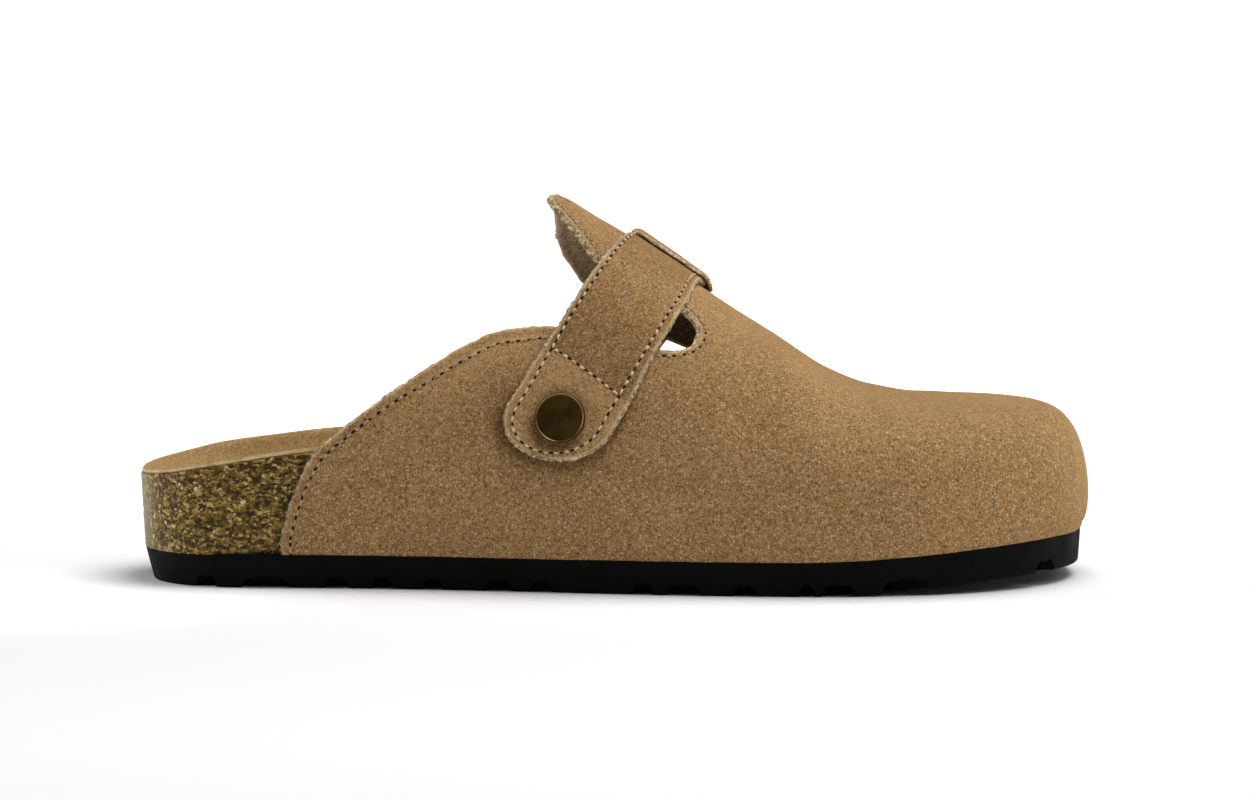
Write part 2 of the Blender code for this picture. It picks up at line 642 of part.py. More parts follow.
def make_stud(name, slices, side, stud):
    """Turned cap, seated on the strap and facing straight out of it."""
    way = 1.0 if side == "lateral" else -1.0
    point, normal = strap_place(slices, way * stud, 0.0)
    seat = point + normal * (strap_lift(side, way * stud) + STRAP_WALL + GAP)
    mesh = bpy.data.meshes.new(name)
    profile = [(row.radius * MM, 0.0, row.height * MM) for row in STUD_PROFILE]
    mesh.from_pydata(profile, [(row, row + 1) for row in range(len(profile) - 1)], [])
    cap = add_part(name, mesh, BRONZE)
    cap.location = Vector(seat) * MM
    cap.rotation_euler = Vector((0.0, 0.0, 1.0)).rotation_difference(Vector(normal)).to_euler()
    turn = cap.modifiers.new("turn", "SCREW")
    turn.angle = 2.0 * math.pi
    turn.steps = STUD_STEPS
    turn.render_steps = STUD_STEPS
    turn.use_merge_vertices = True
    turn.merge_threshold = WELD * MM
    turn.use_smooth_shade = True


def make_straps():
    slices = [band_slice(place) for place in np.linspace(-0.5, 0.5, STRAP_SLICES) * SLICE_SPAN]
    for side, far_end in (("lateral", -HIDDEN_TAIL), ("medial", -CUT_END)):
        stud = stud_length(slices, side, STUD_Z[side])
        form = bmesh.new()
        join_columns(form, strap_columns(slices, side, stud, far_end), flip=side == "lateral")
        strap = add_part("strap_" + side, welded_mesh("strap_" + side, form), SUEDE)
        add_wall(strap, STRAP_WALL, 1.0)
        make_stud("stud_" + side, slices, side, stud)


parts = bpy.data.collections.new("footbed_sandal")
cutters = bpy.data.collections.new("cutters")
bpy.context.scene.collection.children.link(parts)
bpy.context.scene.collection.children.link(cutters)
root = bpy.data.objects.new("sandal", None)
parts.objects.link(root)

make_outsole()
make_footbed()
make_upper()
make_straps()
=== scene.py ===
"""Looks of a right-foot suede clog with a cork footbed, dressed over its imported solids.

Sizes are millimetres in the part's own frame: toe at +X, inner side of the foot at +Y, floor at Z = 0.
They become metres where a mesh is made.
"""

import math
from collections import namedtuple

import bmesh
import bpy
import numpy as np
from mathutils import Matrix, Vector, kdtree, noise
from mathutils.bvhtree import BVHTree


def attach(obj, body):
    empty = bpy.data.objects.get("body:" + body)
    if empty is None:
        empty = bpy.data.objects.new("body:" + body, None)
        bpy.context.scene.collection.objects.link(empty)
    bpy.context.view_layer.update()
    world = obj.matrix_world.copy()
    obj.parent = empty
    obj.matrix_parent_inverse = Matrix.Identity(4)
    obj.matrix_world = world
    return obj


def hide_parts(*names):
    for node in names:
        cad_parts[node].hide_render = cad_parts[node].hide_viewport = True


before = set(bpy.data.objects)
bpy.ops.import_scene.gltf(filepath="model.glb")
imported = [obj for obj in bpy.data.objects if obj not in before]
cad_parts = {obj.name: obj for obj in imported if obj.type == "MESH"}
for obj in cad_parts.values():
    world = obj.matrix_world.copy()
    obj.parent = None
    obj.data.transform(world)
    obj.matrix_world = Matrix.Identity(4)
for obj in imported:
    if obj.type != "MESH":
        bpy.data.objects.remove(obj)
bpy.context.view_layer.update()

# Stage: a wide shallow bowl of white paper, lit from behind beyond the shoe, so that no horizon shows.
# A large soft box hangs overhead, and two weaker ones stand off the toe and the heel. The camera stands
# a little above the shoe, square to its outer side.
MM = 0.001
WELD = 0.02                  # points closer than this become one
CAMERA_PLACE = (2.6, -1335.0, 164.9)
CAMERA_AIM = (2.6, 0.0, 50.5)
LENS = 133.9
SENSOR_WIDTH = 36.0
BOWL = [
    (0.0, 0.0), (400.0, 0.0), (1200.0, 0.0), (2600.0, 0.0), (2900.0, 40.0), (3080.0, 160.0),
    (3160.0, 360.0), (3180.0, 640.0),
]
BOWL_STEPS = 96
GLOW_START = -0.05           # metres across the floor, away from the camera
GLOW_FULL = 0.8
GLOW = 0.8
FRONT_START = -0.12          # and a little towards the camera
FRONT_FULL = -0.35
FRONT_GLOW = 0.10
HEEL_GLOW = 0.34             # and a patch of it by the heel, where the floor is whitest: painted light that lifts the shadow there
HEEL_GLOW_PLACE = (-0.165, -0.055, 0.0)
HEEL_GLOW_REACH = (0.0, 0.12)
HEEL_GLOW_POWER = 2.0        # over 1, it fades sooner
PAPER = 0.90
WHITE = (1.0, 1.0, 1.0, 1.0)
SKY = 0.06
Lamp = namedtuple("Lamp", "name place aim width depth watts")
LAMPS = [
    Lamp("overhead", (400.0, 100.0, 1250.0), (0.0, 0.0, 0.0), 1200.0, 1000.0, 19.6),
    Lamp("toe_side", (1300.0, -350.0, 950.0), (60.0, 0.0, 50.0), 700.0, 700.0, 3.0),
    Lamp("heel_side", (-1400.0, 250.0, 500.0), (-80.0, 0.0, 40.0), 600.0, 600.0, 8.0),
]


def mesh_of(form, name):
    mesh = bpy.data.meshes.new(name)
    form.to_mesh(mesh)
    form.free()
    return mesh


def turned(name, profile, steps):
    """Mesh of rows of radius and height turned about Z."""
    form = bmesh.new()
    rows = [form.verts.new((radius * MM, 0.0, height * MM)) for radius, height in profile]
    edges = [form.edges.new(pair) for pair in zip(rows, rows[1:])]
    bmesh.ops.spin(form, geom=rows + edges, axis=(0.0, 0.0, 1.0), angle=2.0 * math.pi, steps=steps)
    bmesh.ops.remove_doubles(form, verts=form.verts, dist=WELD * MM)
    bmesh.ops.recalc_face_normals(form, faces=form.faces)
    mesh = mesh_of(form, name)
    mesh.shade_smooth()
    return mesh


def link(name, data, *materials):
    thing = bpy.data.objects.new(name, data)
    for material in materials:
        data.materials.append(material)
    bpy.context.scene.collection.objects.link(thing)
    return thing


def aim(thing, place, target):
    thing.location = Vector(place) * MM
    thing.rotation_euler = (Vector(target) - Vector(place)).to_track_quat("-Z", "Y").to_euler()


def new_material(name, **sockets):
    """Material and its shader, with plain values set; in a socket's name, _ stands for a space."""
    material = bpy.data.materials.new(name)
    material.use_nodes = True
    shader = material.node_tree.nodes["Principled BSDF"]
    for socket, value in sockets.items():
        shader.inputs[socket.replace("_", " ")].default_value = value
    return material, shader


def plug(material, socket, value):
    """Link another node's output to a socket, or set the socket to a plain value."""
    if isinstance(value, bpy.types.NodeSocket):
        material.node_tree.links.new(value, socket)
    else:
        socket.default_value = value


def add_node(material, kind, **sockets):
    """Shader node of a kind with its inputs linked or set."""
    node = material.node_tree.nodes.new("ShaderNode" + kind)
    for socket, value in sockets.items():
        plug(material, node.inputs[socket.replace("_", " ")], value)
    return node


def object_place(material):
    return add_node(material, "TexCoord").outputs["Object"]


def remap(material, value, low, high, to_low=0.0, to_high=1.0):
    node = add_node(material, "MapRange", Value=value, From_Min=low, From_Max=high,
                    To_Min=to_low, To_Max=to_high)
    node.interpolation_type = "SMOOTHSTEP"
    return node.outputs["Result"]


def calculated(material, operation, first, second):
    node = material.node_tree.nodes.new("ShaderNodeMath")
    node.operation = operation
    plug(material, node.inputs[0], first)
    plug(material, node.inputs[1], second)
    return node.outputs[0]


def weighted(material, total, *terms):
    """A value plus others, each given with its weight."""
    for value, weight in terms:
        total = calculated(material, "ADD", total, calculated(material, "MULTIPLY", value, weight))
    return total


camera_data = bpy.data.cameras.new("camera")
camera_data.sensor_width = SENSOR_WIDTH
camera_data.lens = LENS
camera = link("camera", camera_data)
aim(camera, CAMERA_PLACE, CAMERA_AIM)
bpy.context.scene.camera = camera
bpy.context.scene.view_settings.view_transform = "Standard"

for lamp in LAMPS:
    light = bpy.data.lights.new(lamp.name, "AREA")
    light.shape = "RECTANGLE"
    light.size = lamp.width * MM
    light.size_y = lamp.depth * MM
    light.energy = lamp.watts
    aim(link(lamp.name, light), lamp.place, lamp.aim)

world = bpy.data.worlds.new("studio")
world.use_nodes = True
world.node_tree.nodes["Background"].inputs["Color"].default_value = WHITE
world.node_tree.nodes["Background"].inputs["Strength"].default_value = SKY
bpy.context.scene.world = world

paper, paper_shader = new_material("paper", Base_Color=(PAPER, PAPER, PAPER, 1.0), Roughness=1.0,
                                   Specular_IOR_Level=0.0, Emission_Color=WHITE)
paper_place = object_place(paper)
paper_across = add_node(paper, "SeparateXYZ", Vector=paper_place).outputs["Y"]
paper_glow = calculated(paper, "ADD", remap(paper, paper_across, GLOW_START, GLOW_FULL, 0.0, GLOW),
                        remap(paper, paper_across, FRONT_FULL, FRONT_START, FRONT_GLOW, 0.0))
# Painted light: a glowing patch on the floor by the heel, which lightens the shadow there
paper_heel = add_node(paper, "VectorMath", Vector=paper_place)
paper_heel.operation = "DISTANCE"
paper_heel.inputs[1].default_value = HEEL_GLOW_PLACE
paper_near = remap(paper, paper_heel.outputs["Value"], *HEEL_GLOW_REACH, 1.0, 0.0)
paper_patch = calculated(paper, "POWER", paper_near, HEEL_GLOW_POWER)
plug(paper, paper_shader.inputs["Emission Strength"],
     weighted(paper, paper_glow, (paper_patch, HEEL_GLOW)))
floor = link("floor", turned("floor", BOWL, BOWL_STEPS), paper)

# Outsole: one moulding of matt black foam rubber, with a slightly tapered side, a little toe spring and
# wide channels across its tread. Fine zigzag cuts in the lugs stop short of the edge. It is cemented
# under the cork.
HEEL_BACK_X = -135.55
HEEL_X = -97.5               # where the round back of the heel starts
HEEL_POWER = 2.4             # 2 is an ellipse, more is squarer
TOE_TIP_X = 134.6
TOE_TIP_Y = 9.0
HEEL_SPINE_X = -97.5         # the ribs of the heel meet here
TOE_SPINE_X = 88.0           # the ribs of the toe meet here
SPINE_TOE_Y = 7.0
Side = namedtuple("Side", "sign heel_half waist_dip ball_half ball_x blend_x toe_power")
SIDES = {
    "lateral": Side(-1, 34.4, 0.0, 53.6, 57.0, -95.0, 2.2),
    "medial": Side(1, 34.2, 1.8, 53.2, 68.0, -40.0, 2.3),
}
WAIST_X = -45.0
WAIST_REACH = 52.0
OUTLINE_SAMPLES = 600
SOLE_THICK = 9.6
TOE_SPRING = 4.2
SPRING_START_X = 50.0
SPRING_END_X = 130.0
# A row of the side wall: its inset is less towards the toe, its round is not
WallRow = namedtuple("WallRow", "inset round height")
SOLE_WALL = [
    WallRow(2.4, 0.6, 0.0), WallRow(2.4, 0.25, 0.08), WallRow(2.35, 0.08, 0.26), WallRow(2.3, 0.0, 0.55),
    WallRow(2.0, 0.0, 1.7), WallRow(1.6, 0.0, 3.3), WallRow(1.1, 0.0, 5.1), WallRow(0.6, 0.0, 7.1),
    WallRow(0.15, 0.0, 9.05), WallRow(0.1, 0.1, 9.45), WallRow(0.1, 0.4, 9.6),
]
TAPER_START_X = -100.0       # the wall tapers in full behind this
TAPER_END_X = 110.0
TAPER_AT_TOE = 0.25
SOLE_SHARES = (0.0, 0.3, 0.6, 0.85)
LUG_DEPTH = 3.6
LUG_PIVOT_Y = -44.0
GROOVE_OVERRUN = 20.0
GROOVE_LENGTH = 130.0
GROOVE_ARC_STEPS = 25
GROOVE_POWER = 2.7           # squareness of a channel's round roof
SCALLOP = 0.2                # share of the depth by which the ridges in a roof hang down
SCALLOP_WIDTH = 3.2
WEB_INSET = 5.4              # each channel is closed by a thin web this far inside the outline
WEB_THICK = 3.0
Groove = namedtuple("Groove", "x width turn_deg")
GROOVES = [
    Groove(-115.4, 5.9, 2.0), Groove(-99.3, 13.5, -1.0), Groove(-78.3, 6.5, 2.0), Groove(-66.0, 5.5, -1.0),
    Groove(-51.2, 5.3, 1.0), Groove(-32.8, 7.6, 2.0), Groove(-20.7, 5.9, 2.0), Groove(7.7, 5.5, -2.0),
    Groove(19.2, 9.5, -2.0), Groove(35.9, 6.2, 0.0), Groove(52.8, 4.7, 2.0), Groove(61.6, 9.0, 2.0),
    Groove(81.1, 13.0, -2.0), Groove(121.5, 6.0, 0.0),
]
SIPE_SPACING = 5.2
SIPE_HALF = 0.5
SIPE_DEPTH = 0.8
SIPE_ZIGZAG = 1.1
SIPE_STEP_Y = 4.0
SIPE_EDGE = 8.0              # the fine cuts stop this far inside the outline
HEEL_STEPS = 60
TOE_STEPS = 90
STRAIGHT_END_X = 42.0        # ribs run straight across up to here and fan round the toe past it
STRAIGHT_RIBS = 94
SOLE_STATIONS = np.linspace(HEEL_SPINE_X, STRAIGHT_END_X, STRAIGHT_RIBS)
SHARP_DEG = 35.0             # edges that turn by more than this stay sharp


def smoothstep(share):
    share = np.clip(share, 0.0, 1.0)
    return share * share * (3.0 - 2.0 * share)


def between(values, start, end):
    """Share that rises softly from 0 at the start to 1 at the end."""
    return smoothstep((values - start) / (end - start))


def smooth_table(xs, ys, x):
    """Cubic through the rows that never overshoots between two of them."""
    xs = np.asarray(xs, float)
    ys = np.asarray(ys, float)
    steps = np.diff(xs)
    rises = np.diff(ys) / steps
    slopes = np.empty_like(ys)
    slopes[0] = rises[0]
    slopes[-1] = rises[-1]
    before = rises[:-1]
    after = rises[1:]
    same_way = before * after > 0.0
    bottom = np.where(same_way, before + after, 1.0)
    slopes[1:-1] = np.where(same_way, 2.0 * before * after / bottom, 0.0)
    x = np.clip(np.asarray(x, float), xs[0], xs[-1])
    row = np.clip(np.searchsorted(xs, x, side="right") - 1, 0, len(xs) - 2)
    share = (x - xs[row]) / steps[row]
    start = ys[row] + steps[row] * share * slopes[row]
    bend = 3.0 * rises[row] - 2.0 * slopes[row] - slopes[row + 1]
    twist = slopes[row] + slopes[row + 1] - 2.0 * rises[row]
    return start + steps[row] * (bend * share ** 2 + twist * share ** 3)


def column(rows, name, x):
    return smooth_table([row.x for row in rows], [getattr(row, name) for row in rows], x)


def run_lengths(points):
    return np.concatenate(([0.0], np.cumsum(np.linalg.norm(np.diff(points, axis=0), axis=1))))


def read_off(values, lengths, wanted):
    """Rows of values at the wanted lengths along them."""
    return np.stack([np.interp(wanted, lengths, axis) for axis in values.T], axis=-1)


def toe_spring(x):
    return TOE_SPRING * between(x, SPRING_START_X, SPRING_END_X)


def spine_y(x):
    return SPINE_TOE_Y * between(x, HEEL_SPINE_X, TOE_SPINE_X)


Outline = namedtuple("Outline", "edge out length")


def half_outline(side):
    """Edge of the sole on one side, from the middle of the heel to the tip of the toe."""
    angles = np.linspace(0.0, math.pi / 2, OUTLINE_SAMPLES)
    heel_x = HEEL_X + (HEEL_BACK_X - HEEL_X) * np.cos(angles) ** (2 / HEEL_POWER)
    heel_y = side.heel_half * np.sin(angles) ** (2 / HEEL_POWER)
    body_x = np.linspace(HEEL_X, side.ball_x, OUTLINE_SAMPLES)[1:-1]
    widening = between(body_x, side.blend_x, side.ball_x)
    dip = side.waist_dip * np.cos(np.clip((body_x - WAIST_X) / WAIST_REACH, -1, 1) * math.pi / 2) ** 2
    body_y = side.heel_half + (side.ball_half - side.heel_half) * widening - dip
    tip_y = side.sign * TOE_TIP_Y
    toe_x = side.ball_x + (TOE_TIP_X - side.ball_x) * np.sin(angles) ** (2 / side.toe_power)
    toe_y = tip_y + (side.ball_half - tip_y) * np.cos(angles) ** (2 / side.toe_power)
    edge = np.stack((np.concatenate((heel_x, body_x, toe_x)),
                     side.sign * np.concatenate((heel_y, body_y, toe_y))), axis=1)
    length = run_lengths(edge)
    along = np.gradient(edge, length, axis=0)
    along[0] = (0.0, side.sign)
    along[-1] = (0.0, -side.sign)
    along /= np.linalg.norm(along, axis=1, keepdims=True)
    out = np.stack((-side.sign * along[:, 1], side.sign * along[:, 0]), axis=1)
    return Outline(edge, out, length)


OUTLINES = {name: half_outline(side) for name, side in SIDES.items()}

# A rib runs from the edge of the sole to the spine: both points in plan, and the way out at the edge
Rib = namedtuple("Rib", "edge out spine")


def edge_at(name, length):
    outline = OUTLINES[name]
    edge = read_off(outline.edge, outline.length, length)
    out = read_off(outline.out, outline.length, length)
    return edge, out / np.linalg.norm(out, axis=-1, keepdims=True)


def length_at(name, x):
    return np.interp(x, OUTLINES[name].edge[:, 0], OUTLINES[name].length)


def edge_y(name, x):
    return float(edge_at(name, length_at(name, x))[0][1])


def straight_rib(name, x):
    edge, out = edge_at(name, length_at(name, x))
    return Rib(edge, out, np.array([x, spine_y(x)]))


def end_ribs(start_x, end, steps):
    """Pairs of ribs that fan round the heel (end 0) or toe (end 1) from a straight pair at start_x."""
    pairs = []
    for step in range(1, steps + 1):
        found = {}
        for name in OUTLINES:
            start = length_at(name, start_x)
            last = OUTLINES[name].length[-1] * end
            found[name] = edge_at(name, start + (last - start) * step / steps)
        middle_x = 0.5 * (found["lateral"][0][0] + found["medial"][0][0])
        spine_x = min(max(middle_x, HEEL_SPINE_X), TOE_SPINE_X)
        spine = np.array([spine_x, spine_y(spine_x)])
        pairs.append({name: Rib(edge, out, spine) for name, (edge, out) in found.items()})
    return pairs


def whole_sole_ribs():
    """Ribs once round the sole: up the lateral side to the toe and back down the medial side."""
    pairs = end_ribs(SOLE_STATIONS[0], 0, HEEL_STEPS)[::-1]
    pairs += [{name: straight_rib(name, x) for name in OUTLINES} for x in SOLE_STATIONS]
    pairs += end_ribs(SOLE_STATIONS[-1], 1, TOE_STEPS)
    there = [("lateral", pair["lateral"]) for pair in pairs]
    back = [("medial", pair["medial"]) for pair in pairs[-2:0:-1]]
    return there + back


SOLE_RIBS = whole_sole_ribs()


def sole_taper(x):
    return 1.0 + (TAPER_AT_TOE - 1.0) * between(x, TAPER_START_X, TAPER_END_X)


def sole_column(rib):
    """One rib of the outsole: out along its tread, up its side wall and back along its top."""
    rows = []
    taper = sole_taper(rib.edge[0])
    wall = [(rib.edge - (taper * row.inset + row.round) * rib.out, row.height) for row in SOLE_WALL]
    tread_end = wall[0][0]
    top_end = wall[-1][0]
    for share in SOLE_SHARES:
        plan = rib.spine + (tread_end - rib.spine) * share
        rows.append((*plan, toe_spring(plan[0])))
    for plan, height in wall:
        rows.append((*plan, height + toe_spring(plan[0])))
    for share in reversed(SOLE_SHARES):
        plan = rib.spine + (top_end - rib.spine) * share
        rows.append((*plan, SOLE_THICK + toe_spring(plan[0])))
    return rows


def grid_mesh(name, grids, closed=False):
    """Mesh of grids of points, columns by rows, each with whether to flip it, welded where they meet."""
    points = []
    faces = []
    count = 0
    for grid, flip in grids:
        grid = np.asarray(grid, float)
        columns, rows = grid.shape[:2]
        index = count + np.arange(columns * rows).reshape(columns, rows)
        if closed:
            index = np.concatenate((index, index[:1]))
        corners = (index[:-1, :-1], index[1:, :-1], index[1:, 1:], index[:-1, 1:])
        quads = np.stack(corners, axis=-1).reshape(-1, 4)
        faces.append(quads[:, ::-1] if flip else quads)
        points.append(grid.reshape(-1, 3))
        count += columns * rows
    mesh = bpy.data.meshes.new(name)
    mesh.from_pydata((np.concatenate(points) * MM).tolist(), [], np.concatenate(faces).tolist())
    form = bmesh.new()
    form.from_mesh(mesh)
    bmesh.ops.remove_doubles(form, verts=form.verts, dist=WELD * MM)
    bmesh.ops.dissolve_degenerate(form, edges=form.edges, dist=WELD * MM)
    if closed:
        bmesh.ops.recalc_face_normals(form, faces=form.faces)
    form.to_mesh(mesh)
    form.free()
    mesh.shade_smooth()
    return mesh


def bar(form, rings):
    """Closed bar through rings of points, one ring after another."""
    rings = [[form.verts.new(Vector(point) * MM) for point in ring] for ring in rings]
    size = len(rings[0])
    for first, second in zip(rings, rings[1:]):
        for corner in range(size):
            after = (corner + 1) % size
            form.faces.new((first[corner], first[after], second[after], second[corner]))
    form.faces.new(rings[0][::-1])
    form.faces.new(rings[-1])


def groove_bars(groove):
    """Rings of the three lengths of one channel: a mouth at each side and the run between the webs."""
    mouth = 0.5 * groove.width
    arc = np.linspace(0.0, math.pi, GROOVE_ARC_STEPS)
    side = np.sign(np.cos(arc)) * np.abs(np.cos(arc)) ** (2 / GROOVE_POWER) * mouth
    lobes = max(1, round(groove.width / SCALLOP_WIDTH))
    hang = SCALLOP * (0.5 + 0.5 * np.cos(math.pi * lobes * (side / mouth + 1.0)))
    rise = np.abs(np.sin(arc)) ** (2 / GROOVE_POWER) * LUG_DEPTH * (1.0 - hang)
    section = [(mouth, -LUG_DEPTH), *zip(side, rise), (-mouth, -LUG_DEPTH)]
    turn = math.radians(groove.turn_deg)
    along = np.array([-math.sin(turn), math.cos(turn), 0.0])
    across = np.array([math.cos(turn), math.sin(turn), 0.0])
    pivot = np.array([groove.x, LUG_PIVOT_Y, float(toe_spring(groove.x))])
    near = edge_y("lateral", groove.x) - LUG_PIVOT_Y
    far = edge_y("medial", groove.x) - LUG_PIVOT_Y
    stops = [-GROOVE_OVERRUN, near + WEB_INSET, near + WEB_INSET + WEB_THICK,
             far - WEB_INSET - WEB_THICK, far - WEB_INSET, GROOVE_LENGTH - GROOVE_OVERRUN]
    bars = []
    for ways in zip(stops[::2], stops[1::2]):
        bars.append([[pivot + along * way + across * x + np.array([0.0, 0.0, z]) for x, z in section]
                     for way in ways])
    return bars


def groove_side(groove, way, y):
    """Place along the foot of one side of a channel, rear (-1) or front (1), at y."""
    slant = math.tan(math.radians(groove.turn_deg))
    return groove.x + way * 0.5 * groove.width - slant * (y - LUG_PIVOT_Y)


def sipe_rings(rear_groove, front_groove, share):
    """One fine zigzag cut across the lug between two channels."""
    start = groove_side(rear_groove, 1, 0.0)
    x = start + (groove_side(front_groove, -1, 0.0) - start) * share
    low = edge_y("lateral", x) + SIPE_EDGE
    high = edge_y("medial", x) - SIPE_EDGE
    places = np.linspace(low, high, max(2, round((high - low) / SIPE_STEP_Y)))
    rings = []
    for step, y in enumerate(places):
        start = groove_side(rear_groove, 1, y)
        middle = start + (groove_side(front_groove, -1, y) - start) * share + SIPE_ZIGZAG * (-1) ** step
        tread = float(toe_spring(middle))
        under = tread - SIPE_DEPTH
        rings.append([(middle - SIPE_HALF, y, under), (middle + SIPE_HALF, y, under),
                      (middle, y, tread + SIPE_DEPTH)])
    return rings


def tread_cutter():
    form = bmesh.new()
    for groove in GROOVES:
        for rings in groove_bars(groove):
            bar(form, rings)
    for first, second in zip(GROOVES, GROOVES[1:]):
        count = int((groove_side(second, -1, 0.0) - groove_side(first, 1, 0.0)) / SIPE_SPACING)
        for step in range(count):
            bar(form, sipe_rings(first, second, (step + 1) / (count + 1)))
    bmesh.ops.recalc_face_normals(form, faces=form.faces)
    return link("tread_cutter", mesh_of(form, "tread_cutter"))


def cut_away(piece, cutter):
    """Cut one mesh by another and keep only the result."""
    cut = piece.modifiers.new("cut", "BOOLEAN")
    cut.operation = "DIFFERENCE"
    cut.solver = "EXACT"
    cut.object = cutter
    bpy.context.view_layer.update()
    shaped = bpy.data.meshes.new_from_object(piece.evaluated_get(bpy.context.evaluated_depsgraph_get()))
    piece.modifiers.clear()
    piece.data = shaped
    bpy.data.objects.remove(cutter, do_unlink=True)
    shaped.shade_smooth()
    shaped.set_sharp_from_angle(angle=math.radians(SHARP_DEG))


def srgb(red, green, blue):
    """Linear colour from one as a screen shows it, 0 to 255."""
    shown = np.array([red, green, blue]) / 255.0
    linear = np.where(shown > 0.04045, ((shown + 0.055) / 1.055) ** 2.4, shown / 12.92)
    return (*linear.tolist(), 1.0)


def noise_at(material, place, scale, detail=2.0, rough=0.5, distortion=0.0):
    node = add_node(material, "TexNoise", Vector=place, Scale=scale, Detail=detail, Roughness=rough,
                    Distortion=distortion)
    return node.outputs["Fac"]


def tones(material, factor, *stops):
    """Colours along a factor, each stop a position and a colour."""
    ramp = add_node(material, "ValToRGB", Fac=factor)
    points = ramp.color_ramp.elements
    while len(points) < len(stops):
        points.new(1.0)
    for point, (position, colour) in zip(points, stops):
        point.position = position
        point.color = colour
    return ramp.outputs["Color"]


def mixed(material, factor, first, second):
    """Mix of two colours, whose sockets follow those for numbers and vectors on a mix node."""
    node = material.node_tree.nodes.new("ShaderNodeMix")
    node.data_type = "RGBA"
    for place, value in ((0, factor), (6, first), (7, second)):
        plug(material, node.inputs[place], value)
    return node.outputs[2]


def bumped(material, shader, height, strength, distance):
    node = add_node(material, "Bump", Height=height, Strength=strength, Distance=distance * MM)
    plug(material, shader.inputs["Normal"], node.outputs["Normal"])


rubber, rubber_shader = new_material("sole_rubber", Specular_IOR_Level=0.08)
rubber_place = object_place(rubber)
rubber_dust = noise_at(rubber, rubber_place, scale=90.0, detail=4.0, rough=0.6)
rubber_pores = noise_at(rubber, rubber_place, scale=1400.0, detail=2.0)
plug(rubber, rubber_shader.inputs["Base Color"],
     tones(rubber, rubber_dust, (0.40, srgb(7, 7, 7)), (0.62, srgb(11, 11, 10)), (0.78, srgb(24, 23, 21))))
plug(rubber, rubber_shader.inputs["Roughness"],
     remap(rubber, rubber_dust, 0.3, 0.7, to_low=0.62, to_high=0.85))
bumped(rubber, rubber_shader, rubber_pores, strength=0.35, distance=0.25)

sole_columns = [sole_column(rib) for name, rib in SOLE_RIBS]
outsole = link("outsole_rubber", grid_mesh("outsole_rubber", [(sole_columns, False)], closed=True))
cut_away(outsole, tread_cutter())
outsole.data.materials.append(rubber)
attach(outsole, "root")
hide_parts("outsole")

# Footbed: a block of pressed cork granules, with a raised rim, a heel cup and an arch. Its side is bare
# at the heel, where the granules show under a thin sealing coat. From there to the toe the upper
# covers it.
SINK = 0.2                   # layers that are cemented lie this far into each other
LINER = 1.2
RIM_LAND = 2.0
RIM_ROUND = 0.8
HEEL_FLARE = 1.2             # the cork's back leans out by this much
COVER_START_X = -118.0       # the cork draws in from here, to lie under the upper
COVER_FULL_X = -98.0
CORK_CLEAR = 0.5
CORK_SIDE_ROWS = 26
RIM_ARC_ROWS = 4
BED_POWER = 2.6              # how quickly the bed drops away from its rim
CORK_BED_SHARES = (0.0, 0.1, 0.26, 0.5, 1.0)
GRANULE_SIZE = 1.7
GRANULE_RELIEF = 0.22
GRANULE_FLAT = 0.5           # from its border, in granule sizes, to where a granule's face is flat
GRANULE_LEVEL = 0.3          # and to where it is level with the side
CRUMB_SIZE = 0.7
CRUMB_RELIEF = 0.07
CORK_WARP = 0.0030           # metres by which the shavings are bent
CORK_FINE = 0.32             # share of the finest bits in the tone of the cork
CORK_BACK_LIGHT_X = (-0.1360, -0.1285)     # metres along the foot, where the painted light on the back of the heel ends
CORK_GLUE_Z = (0.0105, 0.0125)       # metres up, where the smears of glue over the sole end
RimRow = namedtuple("RimRow", "x lateral medial")
RIM = [
    RimRow(-136, 31.7, 31.7), RimRow(-126, 33.3, 33.5), RimRow(-117, 35.1, 35.4), RimRow(-100, 37.6, 38.0),
    RimRow(-84, 39.5, 39.9), RimRow(-60, 40.2, 41.7), RimRow(-35, 38.2, 42.7), RimRow(-10, 33.7, 38.7),
    RimRow(15, 29.2, 31.7), RimRow(45, 25.7, 26.7), RimRow(80, 25.7, 26.2), RimRow(135, 27.7, 27.7),
]
Level = namedtuple("Level", "x height")
BED = [
    Level(-136, 23.7), Level(-98, 22.2), Level(-72, 24.2), Level(-45, 26.7), Level(-18, 25.2),
    Level(12, 20.7), Level(42, 18.2), Level(72, 18.2), Level(96, 19.7), Level(135, 21.7),
]
UPPER_WALL = 2.0
UPPER_INSET = 0.4            # from the outsole's edge to the foot of the upper
SWELL_TOP = 0.85             # share of the height over which the wall swells
SWELL_SKEW = 0.62            # under 1, it is fullest low down
SWELL_POWER = 1.2            # over 1, it starts and ends more softly
RIB_SAMPLES = 200
RIDGE = [
    Level(-103, 154.7), Level(-61.6, 135.2), Level(-18.5, 110.1), Level(5.1, 97.0),
    Level(28.7, 80.2), Level(46.2, 69.0), Level(61.6, 58.9), Level(73.9, 53.9),
    Level(88.0, 51.4), Level(104.0, 50.85), Level(137.0, 50.85),
]
FormRow = namedtuple("FormRow", "x power swell")
FORM = [
    FormRow(-140, 1.8, 0.0), FormRow(-85, 1.8, 0.2), FormRow(-40, 1.8, 0.6), FormRow(0, 2.05, 1.0),
    FormRow(36, 2.3, 1.3), FormRow(56, 3.1, 1.5), FormRow(75, 3.7, 1.6), FormRow(104, 4.6, 1.9),
    FormRow(122, 5.4, 2.2), FormRow(135, 6.0, 2.65),
]


